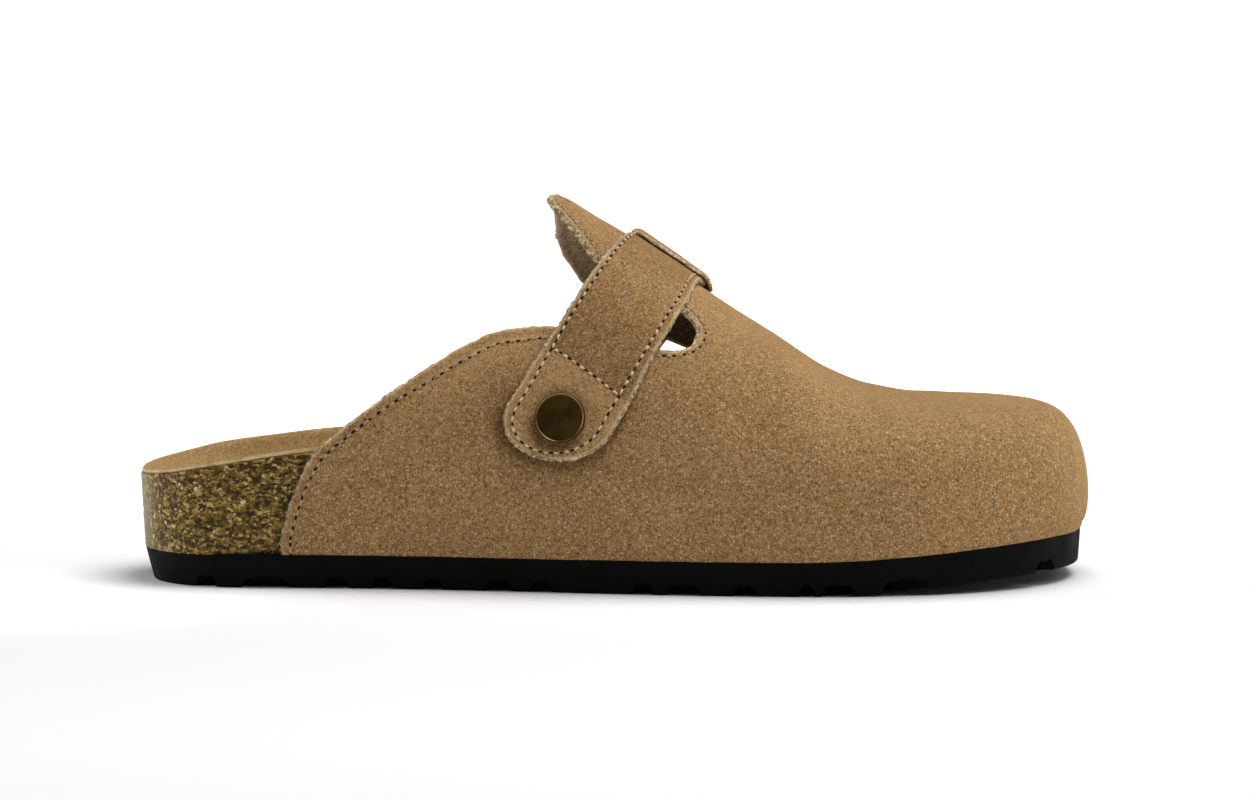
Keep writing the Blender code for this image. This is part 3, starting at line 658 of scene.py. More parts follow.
def upper_skin(edge, out, spine, angle):
    """Outer face of the upper on ribs given as arrays: angle 0 is the sole, a quarter turn the ridge."""
    power = column(FORM, "power", edge[..., 0])
    inward = np.cos(angle).clip(0.0) ** (2 / power)
    upward = np.sin(angle).clip(0.0) ** (2 / power)
    turn = np.clip(upward / SWELL_TOP, 0.0, 1.0) ** SWELL_SKEW * math.pi
    swell = column(FORM, "swell", edge[..., 0]) * np.sin(turn).clip(0.0) ** SWELL_POWER
    foot = edge - UPPER_INSET * out
    plan = spine + (foot - spine) * inward[..., None] + out * swell[..., None]
    base = SOLE_THICK + toe_spring(edge[..., 0]) - SINK
    height = base + (column(RIDGE, "height", plan[..., 0]) - base) * upward
    return np.concatenate((plan, height[..., None]), axis=-1)


def rib_curve(rib):
    share = np.linspace(0.0, 1.0, RIB_SAMPLES)
    half_power = 0.5 * column(FORM, "power", rib.edge[0])     # spaces the points evenly at both ends
    rising = share ** half_power
    falling = (1.0 - share) ** half_power
    angle = rising / (rising + falling) * math.pi / 2
    shape = (len(angle), 2)
    return upper_skin(np.broadcast_to(rib.edge, shape), np.broadcast_to(rib.out, shape),
                      np.broadcast_to(rib.spine, shape), angle)


def cork_cover(rib):
    return float(between(rib.edge[0], COVER_START_X, COVER_FULL_X))


def cork_side(rib, curve, height, rim):
    """Plan point on the cork's side at a height: bare at the heel, under the upper's wall further on."""
    base = SOLE_THICK + toe_spring(rib.edge[0])
    skin = read_off(curve[:, :2], curve[:, 2], height)
    covered = skin - rib.out * (UPPER_WALL + CORK_CLEAR)
    bare = rib.edge + rib.out * HEEL_FLARE * (height - base) / (rim - base)
    return bare + (covered - bare) * cork_cover(rib)


def bed_rows(name, rib, curve, shares):
    """Top of the cork along one rib, from its rim to the spine."""
    liner_top = float(column(RIM, name, rib.edge[0]))
    rim = liner_top - LINER
    lip = cork_side(rib, curve, liner_top, liner_top) - rib.out * RIM_ROUND
    land = lip - rib.out * RIM_LAND
    middle = float(column(BED, "height", rib.spine[0]))
    rows = [(*lip, rim)]
    for share in shares:
        plan = land + (rib.spine - land) * share
        rows.append((*plan, middle + (rim - middle) * (1.0 - share) ** BED_POWER))
    return rows


def granules(point):
    """How far the cork stands out or in at a point of its side."""
    nearest = noise.voronoi(Vector(point) / GRANULE_SIZE)[0]
    crumb = noise.noise(Vector(point) / CRUMB_SIZE)
    height = min(nearest[1] - nearest[0], GRANULE_FLAT) - GRANULE_LEVEL
    return GRANULE_RELIEF * height + CRUMB_RELIEF * crumb


def cork_column(name, rib):
    curve = rib_curve(rib)
    base = SOLE_THICK + float(toe_spring(rib.edge[0])) - SINK
    liner_top = float(column(RIM, name, rib.edge[0]))
    shoulder = liner_top - LINER - RIM_ROUND
    rows = [(*rib.spine, SOLE_THICK + float(toe_spring(rib.spine[0])) - SINK)]
    for share in np.linspace(0.0, 1.0, CORK_SIDE_ROWS):
        height = base + (shoulder - base) * share
        plan = cork_side(rib, curve, height, liner_top)
        relief = granules((*plan, height)) * (1.0 - cork_cover(rib))
        rows.append((*(plan + rib.out * relief), height))
    side = cork_side(rib, curve, shoulder, liner_top)
    for turn in np.linspace(0.0, math.pi / 2, RIM_ARC_ROWS + 1)[1:-1]:
        plan = side - rib.out * RIM_ROUND * (1.0 - math.cos(turn))
        rows.append((*plan, shoulder + RIM_ROUND * math.sin(turn)))
    return rows + bed_rows(name, rib, curve, CORK_BED_SHARES)


cork, cork_shader = new_material("cork", Specular_IOR_Level=0.15, Coat_Weight=0.08, Coat_Roughness=0.4)
cork_place = object_place(cork)
cork_warp = add_node(cork, "TexNoise", Vector=cork_place, Scale=330.0, Detail=2.0, Roughness=0.6)
cork_bend = add_node(cork, "VectorMath", Vector=cork_warp.outputs["Color"])
cork_bend.operation = "MULTIPLY_ADD"
cork_bend.inputs[1].default_value = (CORK_WARP, CORK_WARP, CORK_WARP)
plug(cork, cork_bend.inputs[2], cork_place)
cork_bent = cork_bend.outputs["Vector"]


def cork_shavings(tilt, scale):
    """Random tone of each of the shavings that lie at one tilt."""
    turned_place = add_node(cork, "Mapping", Vector=cork_bent, Rotation=(0.0, tilt, 0.0), Scale=scale)
    cells = add_node(cork, "TexVoronoi", Vector=turned_place.outputs["Vector"], Scale=1.0)
    return add_node(cork, "SeparateColor", Color=cells.outputs["Color"]).outputs["Red"]


cork_up = cork_shavings(tilt=1.1, scale=(700.0, 900.0, 1500.0))
cork_down = cork_shavings(tilt=-0.5, scale=(700.0, 900.0, 1600.0))
cork_fine = cork_shavings(tilt=0.1, scale=(2000.0, 2000.0, 2000.0))
cork_lie = remap(cork, noise_at(cork, cork_place, scale=300.0, detail=2.0), 0.46, 0.54)
cork_bits = add_node(cork, "Mix", Factor=cork_lie, A=cork_up, B=cork_down).outputs["Result"]
cork_value = weighted(cork, 0.0, (cork_bits, 1.0 - CORK_FINE), (cork_fine, CORK_FINE))
cork_colour = tones(cork, cork_value, (0.16, srgb(42, 27, 6)), (0.38, srgb(85, 63, 20)),
                    (0.54, srgb(120, 94, 36)), (0.70, srgb(150, 122, 58)), (0.86, srgb(206, 182, 120)))
cork_bark = noise_at(cork, cork_bent, scale=520.0, detail=3.0, rough=0.6)
cork_colour = mixed(cork, remap(cork, cork_bark, 0.54, 0.60, 0.0, 0.75), cork_colour, srgb(48, 30, 9))
cork_chips = add_node(cork, "TexVoronoi", Vector=cork_bent, Scale=430.0)
cork_chance = add_node(cork, "SeparateColor", Color=cork_chips.outputs["Color"]).outputs["Green"]
cork_pale = calculated(cork, "MULTIPLY", remap(cork, cork_chance, 0.93, 0.95),
                       remap(cork, cork_chips.outputs["Distance"], 0.22, 0.34, 1.0, 0.0))
cork_colour = mixed(cork, cork_pale, cork_colour, srgb(222, 200, 146))
cork_apart = add_node(cork, "SeparateXYZ", Vector=cork_place)
# Painted light: the back of the heel is paler, where it would catch light from behind
cork_colour = mixed(cork, remap(cork, cork_apart.outputs["X"], *CORK_BACK_LIGHT_X, 0.45, 0.0), cork_colour,
                    srgb(176, 164, 136))
cork_smear = noise_at(cork, cork_place, scale=160.0, detail=5.0, rough=0.7)
cork_glue = calculated(cork, "MULTIPLY", remap(cork, cork_apart.outputs["Z"], *CORK_GLUE_Z, 1.0, 0.0),
                       remap(cork, cork_smear, 0.54, 0.66, 0.0, 0.6))
cork_colour = mixed(cork, cork_glue, cork_colour, srgb(176, 164, 138))
plug(cork, cork_shader.inputs["Base Color"], cork_colour)
plug(cork, cork_shader.inputs["Roughness"], remap(cork, cork_bits, 0.0, 1.0, 0.5, 0.75))
bumped(cork, cork_shader, calculated(cork, "SUBTRACT", cork_bits, cork_bark), strength=0.5, distance=0.25)

cork_columns = [cork_column(*rib) for rib in SOLE_RIBS]
footbed = link("footbed_cork_block",
               grid_mesh("footbed_cork_block", [(cork_columns, False)], closed=True), cork)
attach(footbed, "root")
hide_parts("footbed_cork")

# Insole: a thin suede liner glued over the cork, smooth and pale tan. Its raw edge shows as a pale line
# along the rim of the heel.
LINER_SHARES = np.linspace(0.0, 1.0, 26)
LINER_ROUND = 0.35
EDGE_ROUGH = 0.12            # how far a raw edge wanders
EDGE_ROUGH_SIZE = 2.0
DEEP = 0.3                   # brightness of the darkest shade beside the dark tone of the grain
CLOUD_TONE = 0.10            # weights of the clouds, the nap and the grain in the tone of suede
NAP_TONE = 0.10
GRAIN_TONE = 1.3
TONE_LEVEL = -0.256          # that brings these to the middle of its colours
LOOSE_Z = (0.012, 0.075)     # metres up; more fibres stand loose low down
SHADED = -0.1                # tone under which loose fibres are too dark to show
FRAY = (0.5, 1.3)            # from a cut edge in, where its raw colour fades out
FRAY_NAP = 1.2               # how far the nap breaks that up
NAP_RELIEF = 0.4             # height of the nap beside that of the grain


def insole_column(name, rib):
    rows = np.array(bed_rows(name, rib, rib_curve(rib), LINER_SHARES))
    rows[0, :2] += rib.out * EDGE_ROUGH * noise.noise(Vector(rows[0]) / EDGE_ROUGH_SIZE)
    under = rows[::-1] - (0.0, 0.0, SINK)
    over = rows + (0.0, 0.0, LINER)
    middle = np.array([*(rows[0, :2] + rib.out * LINER_ROUND), rows[0, 2] + 0.5 * LINER])
    return np.concatenate((under, [middle], over))


def mesh_points(mesh):
    points = np.empty(len(mesh.vertices) * 3, np.float32)
    mesh.vertices.foreach_get("co", points)
    return points.reshape(-1, 3).astype(float) / MM


def set_attribute(mesh, name, values):
    attribute = mesh.attributes.get(name) or mesh.attributes.new(name, "FLOAT", "POINT")
    attribute.data.foreach_set("value", np.asarray(values, np.float32))


def nearest_edge(points, edge_points):
    """Index of and distance to the nearest of the edge points, for each point."""
    tree = kdtree.KDTree(len(edge_points))
    for index, place in enumerate(edge_points):
        tree.insert(place, index)
    tree.balance()
    found = [tree.find(point)[1:] for point in points]
    return np.array([index for index, gap in found]), np.array([gap for index, gap in found])


def attribute_at(material, name):
    node = add_node(material, "Attribute")
    node.attribute_name = name
    return node.outputs["Fac"]


def suede_material(name, dark, middle, light, raw, sheen=0.6, loose_fibres=0.8):
    """Napped leather: soft clouds, a brushed nap and fine grain, paler and rawer towards its cut edges.

    The mesh gives shade, a tone with painted light and painted shade in it, and edge, the distance to the
    nearest cut edge.
    """
    material, shader = new_material(name, Roughness=0.95, Specular_IOR_Level=0.12, Sheen_Weight=sheen,
                                    Sheen_Roughness=0.55, Sheen_Tint=light)
    place = object_place(material)
    clouds = noise_at(material, place, scale=30.0, detail=3.0, rough=0.55)
    nap = noise_at(material, place, scale=420.0, detail=3.0, rough=0.6)
    grain = noise_at(material, place, scale=1500.0, rough=0.6, distortion=1.6)
    specks = add_node(material, "TexVoronoi", Vector=place, Scale=1150.0)
    chance = add_node(material, "SeparateColor", Color=specks.outputs["Color"]).outputs["Red"]
    height = add_node(material, "SeparateXYZ", Vector=place).outputs["Z"]
    shade = attribute_at(material, "shade")
    edge = attribute_at(material, "edge")
    value = weighted(material, shade, (clouds, CLOUD_TONE), (nap, NAP_TONE), (grain, GRAIN_TONE))
    value = calculated(material, "ADD", value, TONE_LEVEL)
    deep = (*(DEEP * part for part in dark[:3]), 1.0)
    colour = tones(material, value, (0.12, deep), (0.36, dark), (0.50, middle), (0.64, light))
    loose = calculated(material, "ADD", chance, remap(material, height, *LOOSE_Z, 0.24, 0.0))
    fleck = calculated(material, "MULTIPLY", remap(material, loose, 0.90, 1.0),
                       remap(material, specks.outputs["Distance"], 0.22, 0.50, loose_fibres, 0.0))
    lit = remap(material, shade, SHADED, 0.0)
    colour = mixed(material, calculated(material, "MULTIPLY", fleck, lit), colour, raw)
    frayed = weighted(material, edge, (nap, FRAY_NAP))
    colour = mixed(material, remap(material, frayed, *FRAY, 0.75, 0.0), colour, raw)
    plug(material, shader.inputs["Base Color"], colour)
    relief = weighted(material, calculated(material, "ADD", grain, fleck), (nap, NAP_RELIEF))
    bumped(material, shader, relief, strength=0.7, distance=0.35)
    return material


liner_suede = suede_material("liner_suede", srgb(140, 110, 68), srgb(168, 135, 87), srgb(190, 157, 107),
                             srgb(240, 220, 172), loose_fibres=0.0)
liner_columns = np.array([insole_column(*rib) for rib in SOLE_RIBS])
liner_edge = liner_columns[:, len(LINER_SHARES) + 1]
insole = link("insole_liner", grid_mesh("insole_liner", [(liner_columns, False)], closed=True),
              liner_suede)
set_attribute(insole.data, "edge", nearest_edge(mesh_points(insole.data), liner_edge)[1])
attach(insole, "root")
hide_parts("insole")

# Upper: one piece of taupe suede, cut as vamp, two quarters and a tongue, pulled over a last and cemented
# into the joint between cork and sole. Its edges are raw, a little wavy, and sewn once round, one to two
# millimetres inside.
TONGUE_TIP_X = -18.0
COLLAR = {
    "lateral": [
        Level(-94.0, 13.9), Level(-91.4, 23.8), Level(-88.4, 31.4), Level(-84.2, 38.4),
        Level(-77.1, 44.7), Level(-65.9, 53.1), Level(-54.6, 60.9), Level(-43.4, 67.9),
        Level(-32.1, 72.7), Level(-20.0, 73.9), Level(0.0, 71.0), Level(12.6, 67.2),
        Level(17.0, 67.0), Level(20.9, 67.8), Level(22.9, 69.0), Level(23.8, 70.2), Level(24.2, 71.2),
        Level(24.3, 72.2),
    ],
    "medial": [
        Level(-90.5, 13.9), Level(-87.8, 23.3), Level(-83.1, 33.0), Level(-77.0, 40.2),
        Level(-65.7, 47.9), Level(-54.4, 54.6), Level(-43.1, 60.2), Level(-31.8, 63.6),
        Level(-19.5, 64.3), Level(-5.0, 61.8), Level(8.2, 57.2), Level(18.5, 52.9),
        Level(25.0, 52.1), Level(29.2, 53.5), Level(30.9, 55.6), Level(31.3, 56.6), Level(31.4, 57.7),
    ],
}
TONGUE = {
    "lateral": [
        Level(-18.0, 108.4), Level(-17.2, 107.3), Level(-15.6, 105.7), Level(-9.9, 99.3),
        Level(-4.2, 92.4), Level(8.0, 85.0), Level(19.1, 78.9), Level(22.3, 76.2),
        Level(23.8, 74.2), Level(24.2, 73.2), Level(24.3, 72.2),
    ],
    "medial": [
        Level(-18.0, 98.2), Level(-17.3, 95.3), Level(-16.0, 92.1), Level(-13.6, 88.1),
        Level(-8.8, 82.6), Level(3.0, 74.3), Level(15.4, 67.1), Level(24.0, 63.5),
        Level(29.5, 60.5), Level(31.2, 58.6), Level(31.4, 57.7),
    ],
}
UPPER_STEP = 1.25            # distance between columns along the cut edges
STATION_STEP = 0.02          # along the foot, to measure those
STATION_GAP = 0.05           # between any column and one that has a set place
QUARTER_ROWS = 57
QUARTER_CROWD = 0.6          # over 0, the rows are closer at both ends
EVEN = np.linspace(0.0, 1.0, QUARTER_ROWS)
QUARTER_SHARES = EVEN - QUARTER_CROWD * np.sin(2.0 * math.pi * EVEN) / (2.0 * math.pi)
TONGUE_ROWS = 38
TONGUE_CROWD = 1.35          # over 1, the rows are closer at the cut edge
TONGUE_SHARES = np.linspace(0.0, 1.0, TONGUE_ROWS) ** TONGUE_CROWD
TOE_SHARE = 0.6              # the two sets of rows meet this far up the rib at the tip of the toe
SEAM_INSET = 2.3
NOTCH_INSET = 1.15           # the seam draws nearer to the edge round the notch
TONGUE_INSET = 1.25          # and along the tongue
TONGUE_RISE = (3.0, 9.0)     # above the end of the notch, from where that starts to where it is reached
NOTCH_REACH = (20.0, 9.0)    # from the end of the notch to where that starts, and to where it is reached
SEAM_SINK = 0.28
SEAM_WIDTH = 0.75
DENSE_STEP = 0.3
EDGE_WAVES = ((7.0, 0.16), (1.0, 0.12))      # size and height
EDGE_WAVE_REACH = 3.0
WAVE_SEED = 3.0
EDGE_ROUND = 0.55
RIM_ROWS = 4
RIM_BULGE = 0.35
RIM_ROUGH = 1.5              # how unevenly it bulges
RIM_ROUGH_SIZE = 0.8
EDGE_BEVEL = 0.35            # the inner side is cut this much longer
TONGUE_BEVEL = 1.1           # and this much at the tip of the tongue
TONGUE_BEVEL_Z = (80.0, 96.0)
TIP_BEVEL_Y = (-1.0, 2.0)    # on its outer half only
NOTCH_BEVEL = 0.9            # and round the notch
ROLL = 3.4                   # how far the collar leans in at its edge
ROLL_REACH = 15.0            # below the edge
ROLL_PAINTED_LIGHT = 0.09             # painted light: the top of the collar is made paler, as if it caught more light from above
ROLL_START = (-68.0, -46.0)  # along the foot, from none to all of it
ROLL_END = (-26.0, -8.0)     # and back to none
FAR_TUCK = 1.1               # the tip of the tongue's inner half lies this far forward
FAR_TUCK_Y = (0.0, 3.0)
FAR_TUCK_X = (-15.0, -4.0)
THROAT_PAINTED_SHADE = -0.30          # painted shade: the inside is darker deep under the vamp
THROAT_X = (-2.0, 22.0)
LIP_HEIGHT = 1.9             # of the furrow where the leather turns under, above the sole
LIP_SINK = 0.3
LIP_WIDTH = 0.7
SOFT_RELIEF = ((26.0, 0.30), (9.0, 0.12))    # size and height of the leather's soft unevenness
RELIEF_SEED = 5.0


def upper_stations(name):
    """Places along the foot, spaced by the length of the cut edges there."""
    x = np.arange(COLLAR[name][0].x, STRAIGHT_END_X + 0.5 * STATION_STEP, STATION_STEP)
    notch_x = COLLAR[name][-1].x
    is_open = x[1:] <= notch_x
    rise = np.abs(np.diff(column(COLLAR[name], "height", x))) * is_open
    fall = np.abs(np.diff(column(TONGUE[name], "height", x))) * (is_open & (x[1:] > TONGUE_TIP_X))
    length = np.concatenate(([0.0], np.cumsum(np.hypot(np.diff(x), np.maximum(rise, fall)))))
    found = np.interp(np.arange(0.0, length[-1], UPPER_STEP), length, x)
    fixed = np.array([TONGUE_TIP_X, notch_x, STRAIGHT_END_X])
    found = found[np.abs(found[:, None] - fixed).min(axis=1) > STATION_GAP]
    return np.sort(np.concatenate((found, fixed)))


def along_curve(curve, start, end, shares):
    lengths = run_lengths(curve)
    return read_off(curve, lengths, start + (end - start) * shares)


def length_at_height(points, height):
    return float(np.interp(height, points[:, 2], run_lengths(points)))


def upper_half(name):
    """Quarter, up from the sole, and tongue, up to the ridge, of one side, with their cut edges.

    An edge is its points and the way out of the leather there.
    """
    notch = COLLAR[name][-1]
    notch_curve = rib_curve(straight_rib(name, notch.x))
    notch_share = length_at_height(notch_curve, notch.height) / run_lengths(notch_curve)[-1]
    quarter = []
    tongue = []
    collar_count = 0
    lappet_count = 0
    for x in upper_stations(name):
        curve = rib_curve(straight_rib(name, x))
        whole = run_lengths(curve)[-1]
        low = notch_share * whole
        high = low
        if x <= notch.x:
            low = length_at_height(curve, column(COLLAR[name], "height", x))
            high = length_at_height(curve, column(TONGUE[name], "height", x))
            collar_count += 1
            lappet_count += x >= TONGUE_TIP_X
        quarter.append(along_curve(curve, 0.0, low, QUARTER_SHARES))
        if x >= TONGUE_TIP_X:
            tongue.append(along_curve(curve, high, whole, TONGUE_SHARES))
    for step, pair in enumerate(end_ribs(STRAIGHT_END_X, 1, TOE_STEPS), start=1):
        curve = rib_curve(pair[name])
        whole = run_lengths(curve)[-1]
        split = whole * (notch_share + (TOE_SHARE - notch_share) * step / TOE_STEPS)
        quarter.append(along_curve(curve, 0.0, split, QUARTER_SHARES))
        tongue.append(along_curve(curve, split, whole, TONGUE_SHARES))
    quarter = np.array(quarter)
    tongue = np.array(tongue)
    collar = quarter[:collar_count]
    lappet = tongue[:lappet_count]
    edges = {
        "rear": (collar[0], collar[0] - collar[1]),
        "collar": (collar[:, -1], collar[:, -1] - collar[:, -3]),
        "tongue": (lappet[:, 0], lappet[:, 0] - lappet[:, 2]),
        "tip": (lappet[0], lappet[0] - lappet[1]),
    }
    return quarter, tongue, edges


def squared_edge(points, outward):
    """Edge points, no two in one place, with unit ways out square to the edge."""
    keep = np.concatenate(([True], np.linalg.norm(np.diff(points, axis=0), axis=1) > WELD))
    points = points[keep]
    outward = outward[keep]
    along = np.gradient(points, axis=0)
    along /= np.linalg.norm(along, axis=1, keepdims=True)
    outward = outward - along * np.sum(outward * along, axis=1, keepdims=True)
    return points, outward / np.linalg.norm(outward, axis=1, keepdims=True)


def mesh_normals(mesh):
    normals = np.empty(len(mesh.vertices) * 3, np.float32)
    mesh.vertex_normals.foreach_get("vector", normals)
    return normals.reshape(-1, 3).astype(float)


def move_points(mesh, points):
    mesh.vertices.foreach_set("co", (points * MM).astype(np.float32).ravel())
    mesh.update()


def dense(points, values):
    """Values along a line of points, read off at close steps."""
    lengths = run_lengths(points)
    return read_off(values, lengths, np.linspace(0.0, lengths[-1], max(2, int(lengths[-1] / DENSE_STEP))))


def dense_edges(edges):
    """Close points along a run of cut edges, and the ways out of the leather there."""
    places = np.concatenate([dense(points, points) for points, outward in edges])
    outward = np.concatenate([dense(points, outward) for points, outward in edges])
    return places, outward


def wander(places, size, seed):
    return np.array([noise.noise(Vector(place) / size + Vector((seed, 0.0, 0.0))) for place in places])


def work_leather(mesh, edges, inset, seams=()):
    """Make a sheet look cut and sewn: wavy edges, soft unevenness and a furrow under each seam."""
    points = mesh_points(mesh)
    edge_points, outward = dense_edges(edges)
    index, gap = nearest_edge(points, edge_points)
    wave = sum(height * wander(edge_points, size, WAVE_SEED) for size, height in EDGE_WAVES)
    fade = np.clip(1.0 - gap / EDGE_WAVE_REACH, 0.0, 1.0) ** 2
    points += outward[index] * (wave[index] * fade)[:, None]
    normals = mesh_normals(mesh)
    lift = np.zeros(len(points))
    for size, height in SOFT_RELIEF:
        lift += height * wander(points, size, RELIEF_SEED)
    if inset:
        lift -= SEAM_SINK * np.exp(-((gap - inset(edge_points)[index]) / SEAM_WIDTH) ** 2)
    for seam in seams:
        lift -= SEAM_SINK * np.exp(-(nearest_edge(points, dense(seam, seam))[1] / SEAM_WIDTH) ** 2)
    move_points(mesh, points + normals * lift[:, None])
    set_attribute(mesh, "edge", gap)
    return gap


def shell(name, mesh, walls, gap, bevels):
    """Closed leather shell: the given face, one a wall below it and a rough raw edge between them.

    Walls, gaps to the cut edge and bevels are given for each point. Faces get material 0 outside,
    1 on the raw edge and 2 inside.
    """
    form = bmesh.new()
    form.from_mesh(mesh)
    form.normal_update()
    form.verts.ensure_lookup_table()
    outer = list(form.verts)
    faces = list(form.faces)
    borders = [edge for edge in form.edges if edge.is_boundary]
    share = np.clip(1.0 - gap / EDGE_ROUND, 0.0, 1.0)
    sink = EDGE_ROUND * (1.0 - np.sqrt(1.0 - share ** 2))
    edge_layer = form.verts.layers.float["edge"]
    shade_layer = form.verts.layers.float["shade"]
    inner = []
    for vert, wall, drop in zip(outer, walls, sink):
        twin = form.verts.new(vert.co - vert.normal * (wall - drop) * MM)
        twin[edge_layer] = vert[edge_layer]
        twin[shade_layer] = vert[shade_layer]
        inner.append(twin)
    for face in faces:
        twin = form.faces.new([inner[vert.index] for vert in reversed(face.verts)])
        twin.material_index = 2
        twin.smooth = True
    ways_out = {}
    for edge in borders:
        loop = edge.link_loops[0]
        direction = (loop.link_loop_next.vert.co - loop.vert.co).normalized()
        way = direction.cross(loop.face.normal)
        for vert in edge.verts:
            ways_out[vert.index] = ways_out.get(vert.index, Vector()) + way
    for vert, drop in zip(outer, sink):
        vert.co = vert.co - vert.normal * drop * MM
    rows = {}
    for index, way in ways_out.items():
        inner[index].co += way.normalized() * bevels[index] * MM
        top = outer[index].co.copy()
        bottom = inner[index].co.copy()
        row = [outer[index]]
        for step in range(1, RIM_ROWS + 1):
            height = step / (RIM_ROWS + 1)
            rough = 1.0 + RIM_ROUGH * noise.noise(top.lerp(bottom, height) / MM / RIM_ROUGH_SIZE)
            bulge = RIM_BULGE * rough * math.sin(math.pi * height)
            vert = form.verts.new(top.lerp(bottom, height) + way.normalized() * bulge * MM)
            vert[shade_layer] = outer[index][shade_layer]
            row.append(vert)
        rows[index] = row + [inner[index]]
    for edge in borders:
        loop = edge.link_loops[0]
        first = rows[loop.vert.index]
        second = rows[loop.link_loop_next.vert.index]
        for step in range(RIM_ROWS + 1):
            face = form.faces.new((second[step], first[step], first[step + 1], second[step + 1]))
            face.material_index = 1
            face.smooth = True
    return mesh_of(form, name)


def upper_inset(places):
    """Distance from the cut edge to its seam, at points along the edge."""
    ends = np.where(places[:, 1] < 0.0, COLLAR["lateral"][-1].x, COLLAR["medial"][-1].x)
    floors = np.where(places[:, 1] < 0.0, COLLAR["lateral"][-1].height, COLLAR["medial"][-1].height)
    near = between(places[:, 0], ends - NOTCH_REACH[0], ends - NOTCH_REACH[1])
    high = between(places[:, 2], floors + TONGUE_RISE[0], floors + TONGUE_RISE[1])
    inset = SEAM_INSET + (NOTCH_INSET - SEAM_INSET) * near
    return inset + (TONGUE_INSET - inset) * high


def turn_under(mesh):
    """Furrow just above the sole, where the leather turns in under the cork."""
    points = mesh_points(mesh)
    above = points[:, 2] - SOLE_THICK - toe_spring(points[:, 0])
    furrow = LIP_SINK * np.exp(-((above - LIP_HEIGHT) / LIP_WIDTH) ** 2)
    move_points(mesh, points - mesh_normals(mesh) * furrow[:, None])


def roll_in(mesh):
    """Lean the top of each quarter in, most along the middle of its collar; returns the share of it."""
    points = mesh_points(mesh)
    shares = np.zeros(len(points))
    for name, parts in upper_edges.items():
        own = points[:, 1] * SIDES[name].sign > 0.0
        collar = parts["collar"][0]
        gap = nearest_edge(points[own], dense(collar, collar))[1]
        share = between(points[own, 0], *ROLL_START) * (1.0 - between(points[own, 0], *ROLL_END))
        shares[own] = share * np.clip(1.0 - gap / ROLL_REACH, 0.0, 1.0) ** 2
        points[own, 1] -= SIDES[name].sign * ROLL * shares[own]
    move_points(mesh, points)
    return shares


def tuck_far_half(mesh):
    """Bring the rear edge of the tongue's inner half a little forward."""
    points = mesh_points(mesh)
    inner_half = between(points[:, 1], *FAR_TUCK_Y)
    rear = 1.0 - between(points[:, 0], *FAR_TUCK_X)
    above_notch = points[:, 2] > COLLAR["medial"][-1].height + TONGUE_RISE[1]
    points[:, 0] += FAR_TUCK * inner_half * rear * above_notch
    move_points(mesh, points)


def raw_edge_material(name, dark, middle, light):
    """Fibres of a cut edge, fuzzy and paler than the nap."""
    material, shader = new_material(name, Roughness=1.0, Specular_IOR_Level=0.05, Sheen_Weight=0.4,
                                    Sheen_Tint=light)
    fibres = noise_at(material, object_place(material), scale=900.0, detail=4.0, rough=0.7)
    plug(material, shader.inputs["Base Color"],
         tones(material, fibres, (0.38, dark), (0.5, middle), (0.62, light)))
    bumped(material, shader, fibres, strength=0.8, distance=0.5)
    return material


SUEDE_TONES = (srgb(122, 91, 57), srgb(160, 124, 81), srgb(198, 160, 110))
SUEDE_RAW = srgb(214, 188, 144)
suede = suede_material("suede", *SUEDE_TONES, SUEDE_RAW)
raw_edge = raw_edge_material("raw_edge", srgb(96, 78, 48), srgb(166, 143, 104), srgb(232, 212, 176))
flesh_side = suede_material("flesh_side", srgb(150, 130, 104), srgb(186, 166, 134), srgb(214, 196, 164),
                            srgb(196, 174, 138), sheen=0.15)
halves = {name: upper_half(name) for name in OUTLINES}
upper_edges = {}
upper_grids = []
for name, (quarter, tongue, edges) in halves.items():
    upper_grids += [(quarter, name == "medial"), (tongue, name == "medial")]
    upper_edges[name] = {part: squared_edge(*edge) for part, edge in edges.items()}
upper_face = grid_mesh("upper_face", upper_grids)
turn_under(upper_face)
upper_gap = work_leather(upper_face, [edge for parts in upper_edges.values() for edge in parts.values()],
                         upper_inset)
upper_roll = roll_in(upper_face)
tuck_far_half(upper_face)
set_attribute(upper_face, "shade", np.zeros(len(upper_roll)))
upper_places = mesh_points(upper_face)
at_tip = between(upper_places[:, 2], *TONGUE_BEVEL_Z) * (1.0 - between(upper_places[:, 1], *TIP_BEVEL_Y))
notch_x = COLLAR["lateral"][-1].x
at_notch = between(upper_places[:, 0], notch_x - NOTCH_REACH[0], notch_x - NOTCH_REACH[1])
upper_bevels = EDGE_BEVEL + (TONGUE_BEVEL - EDGE_BEVEL) * at_tip + (NOTCH_BEVEL - EDGE_BEVEL) * at_notch
upper_walls = np.full(len(upper_gap), UPPER_WALL)
upper = link("upper_suede", shell("upper_suede", upper_face, upper_walls, upper_gap, upper_bevels),
             suede, raw_edge, flesh_side)
upper_points = mesh_points(upper.data)
upper_shade = np.zeros(len(upper_points))
upper_inside = slice(len(upper_gap), 2 * len(upper_gap))     # the inner face's points follow the outer's
# Painted light on the leaned-in top of each collar
upper_shade[:len(upper_roll)] = ROLL_PAINTED_LIGHT * np.sqrt(upper_roll)
# Painted shade deep inside the upper, under the vamp
upper_shade[upper_inside] = THROAT_PAINTED_SHADE * between(upper_points[upper_inside, 0], *THROAT_X)
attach(upper, "root")
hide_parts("upper")

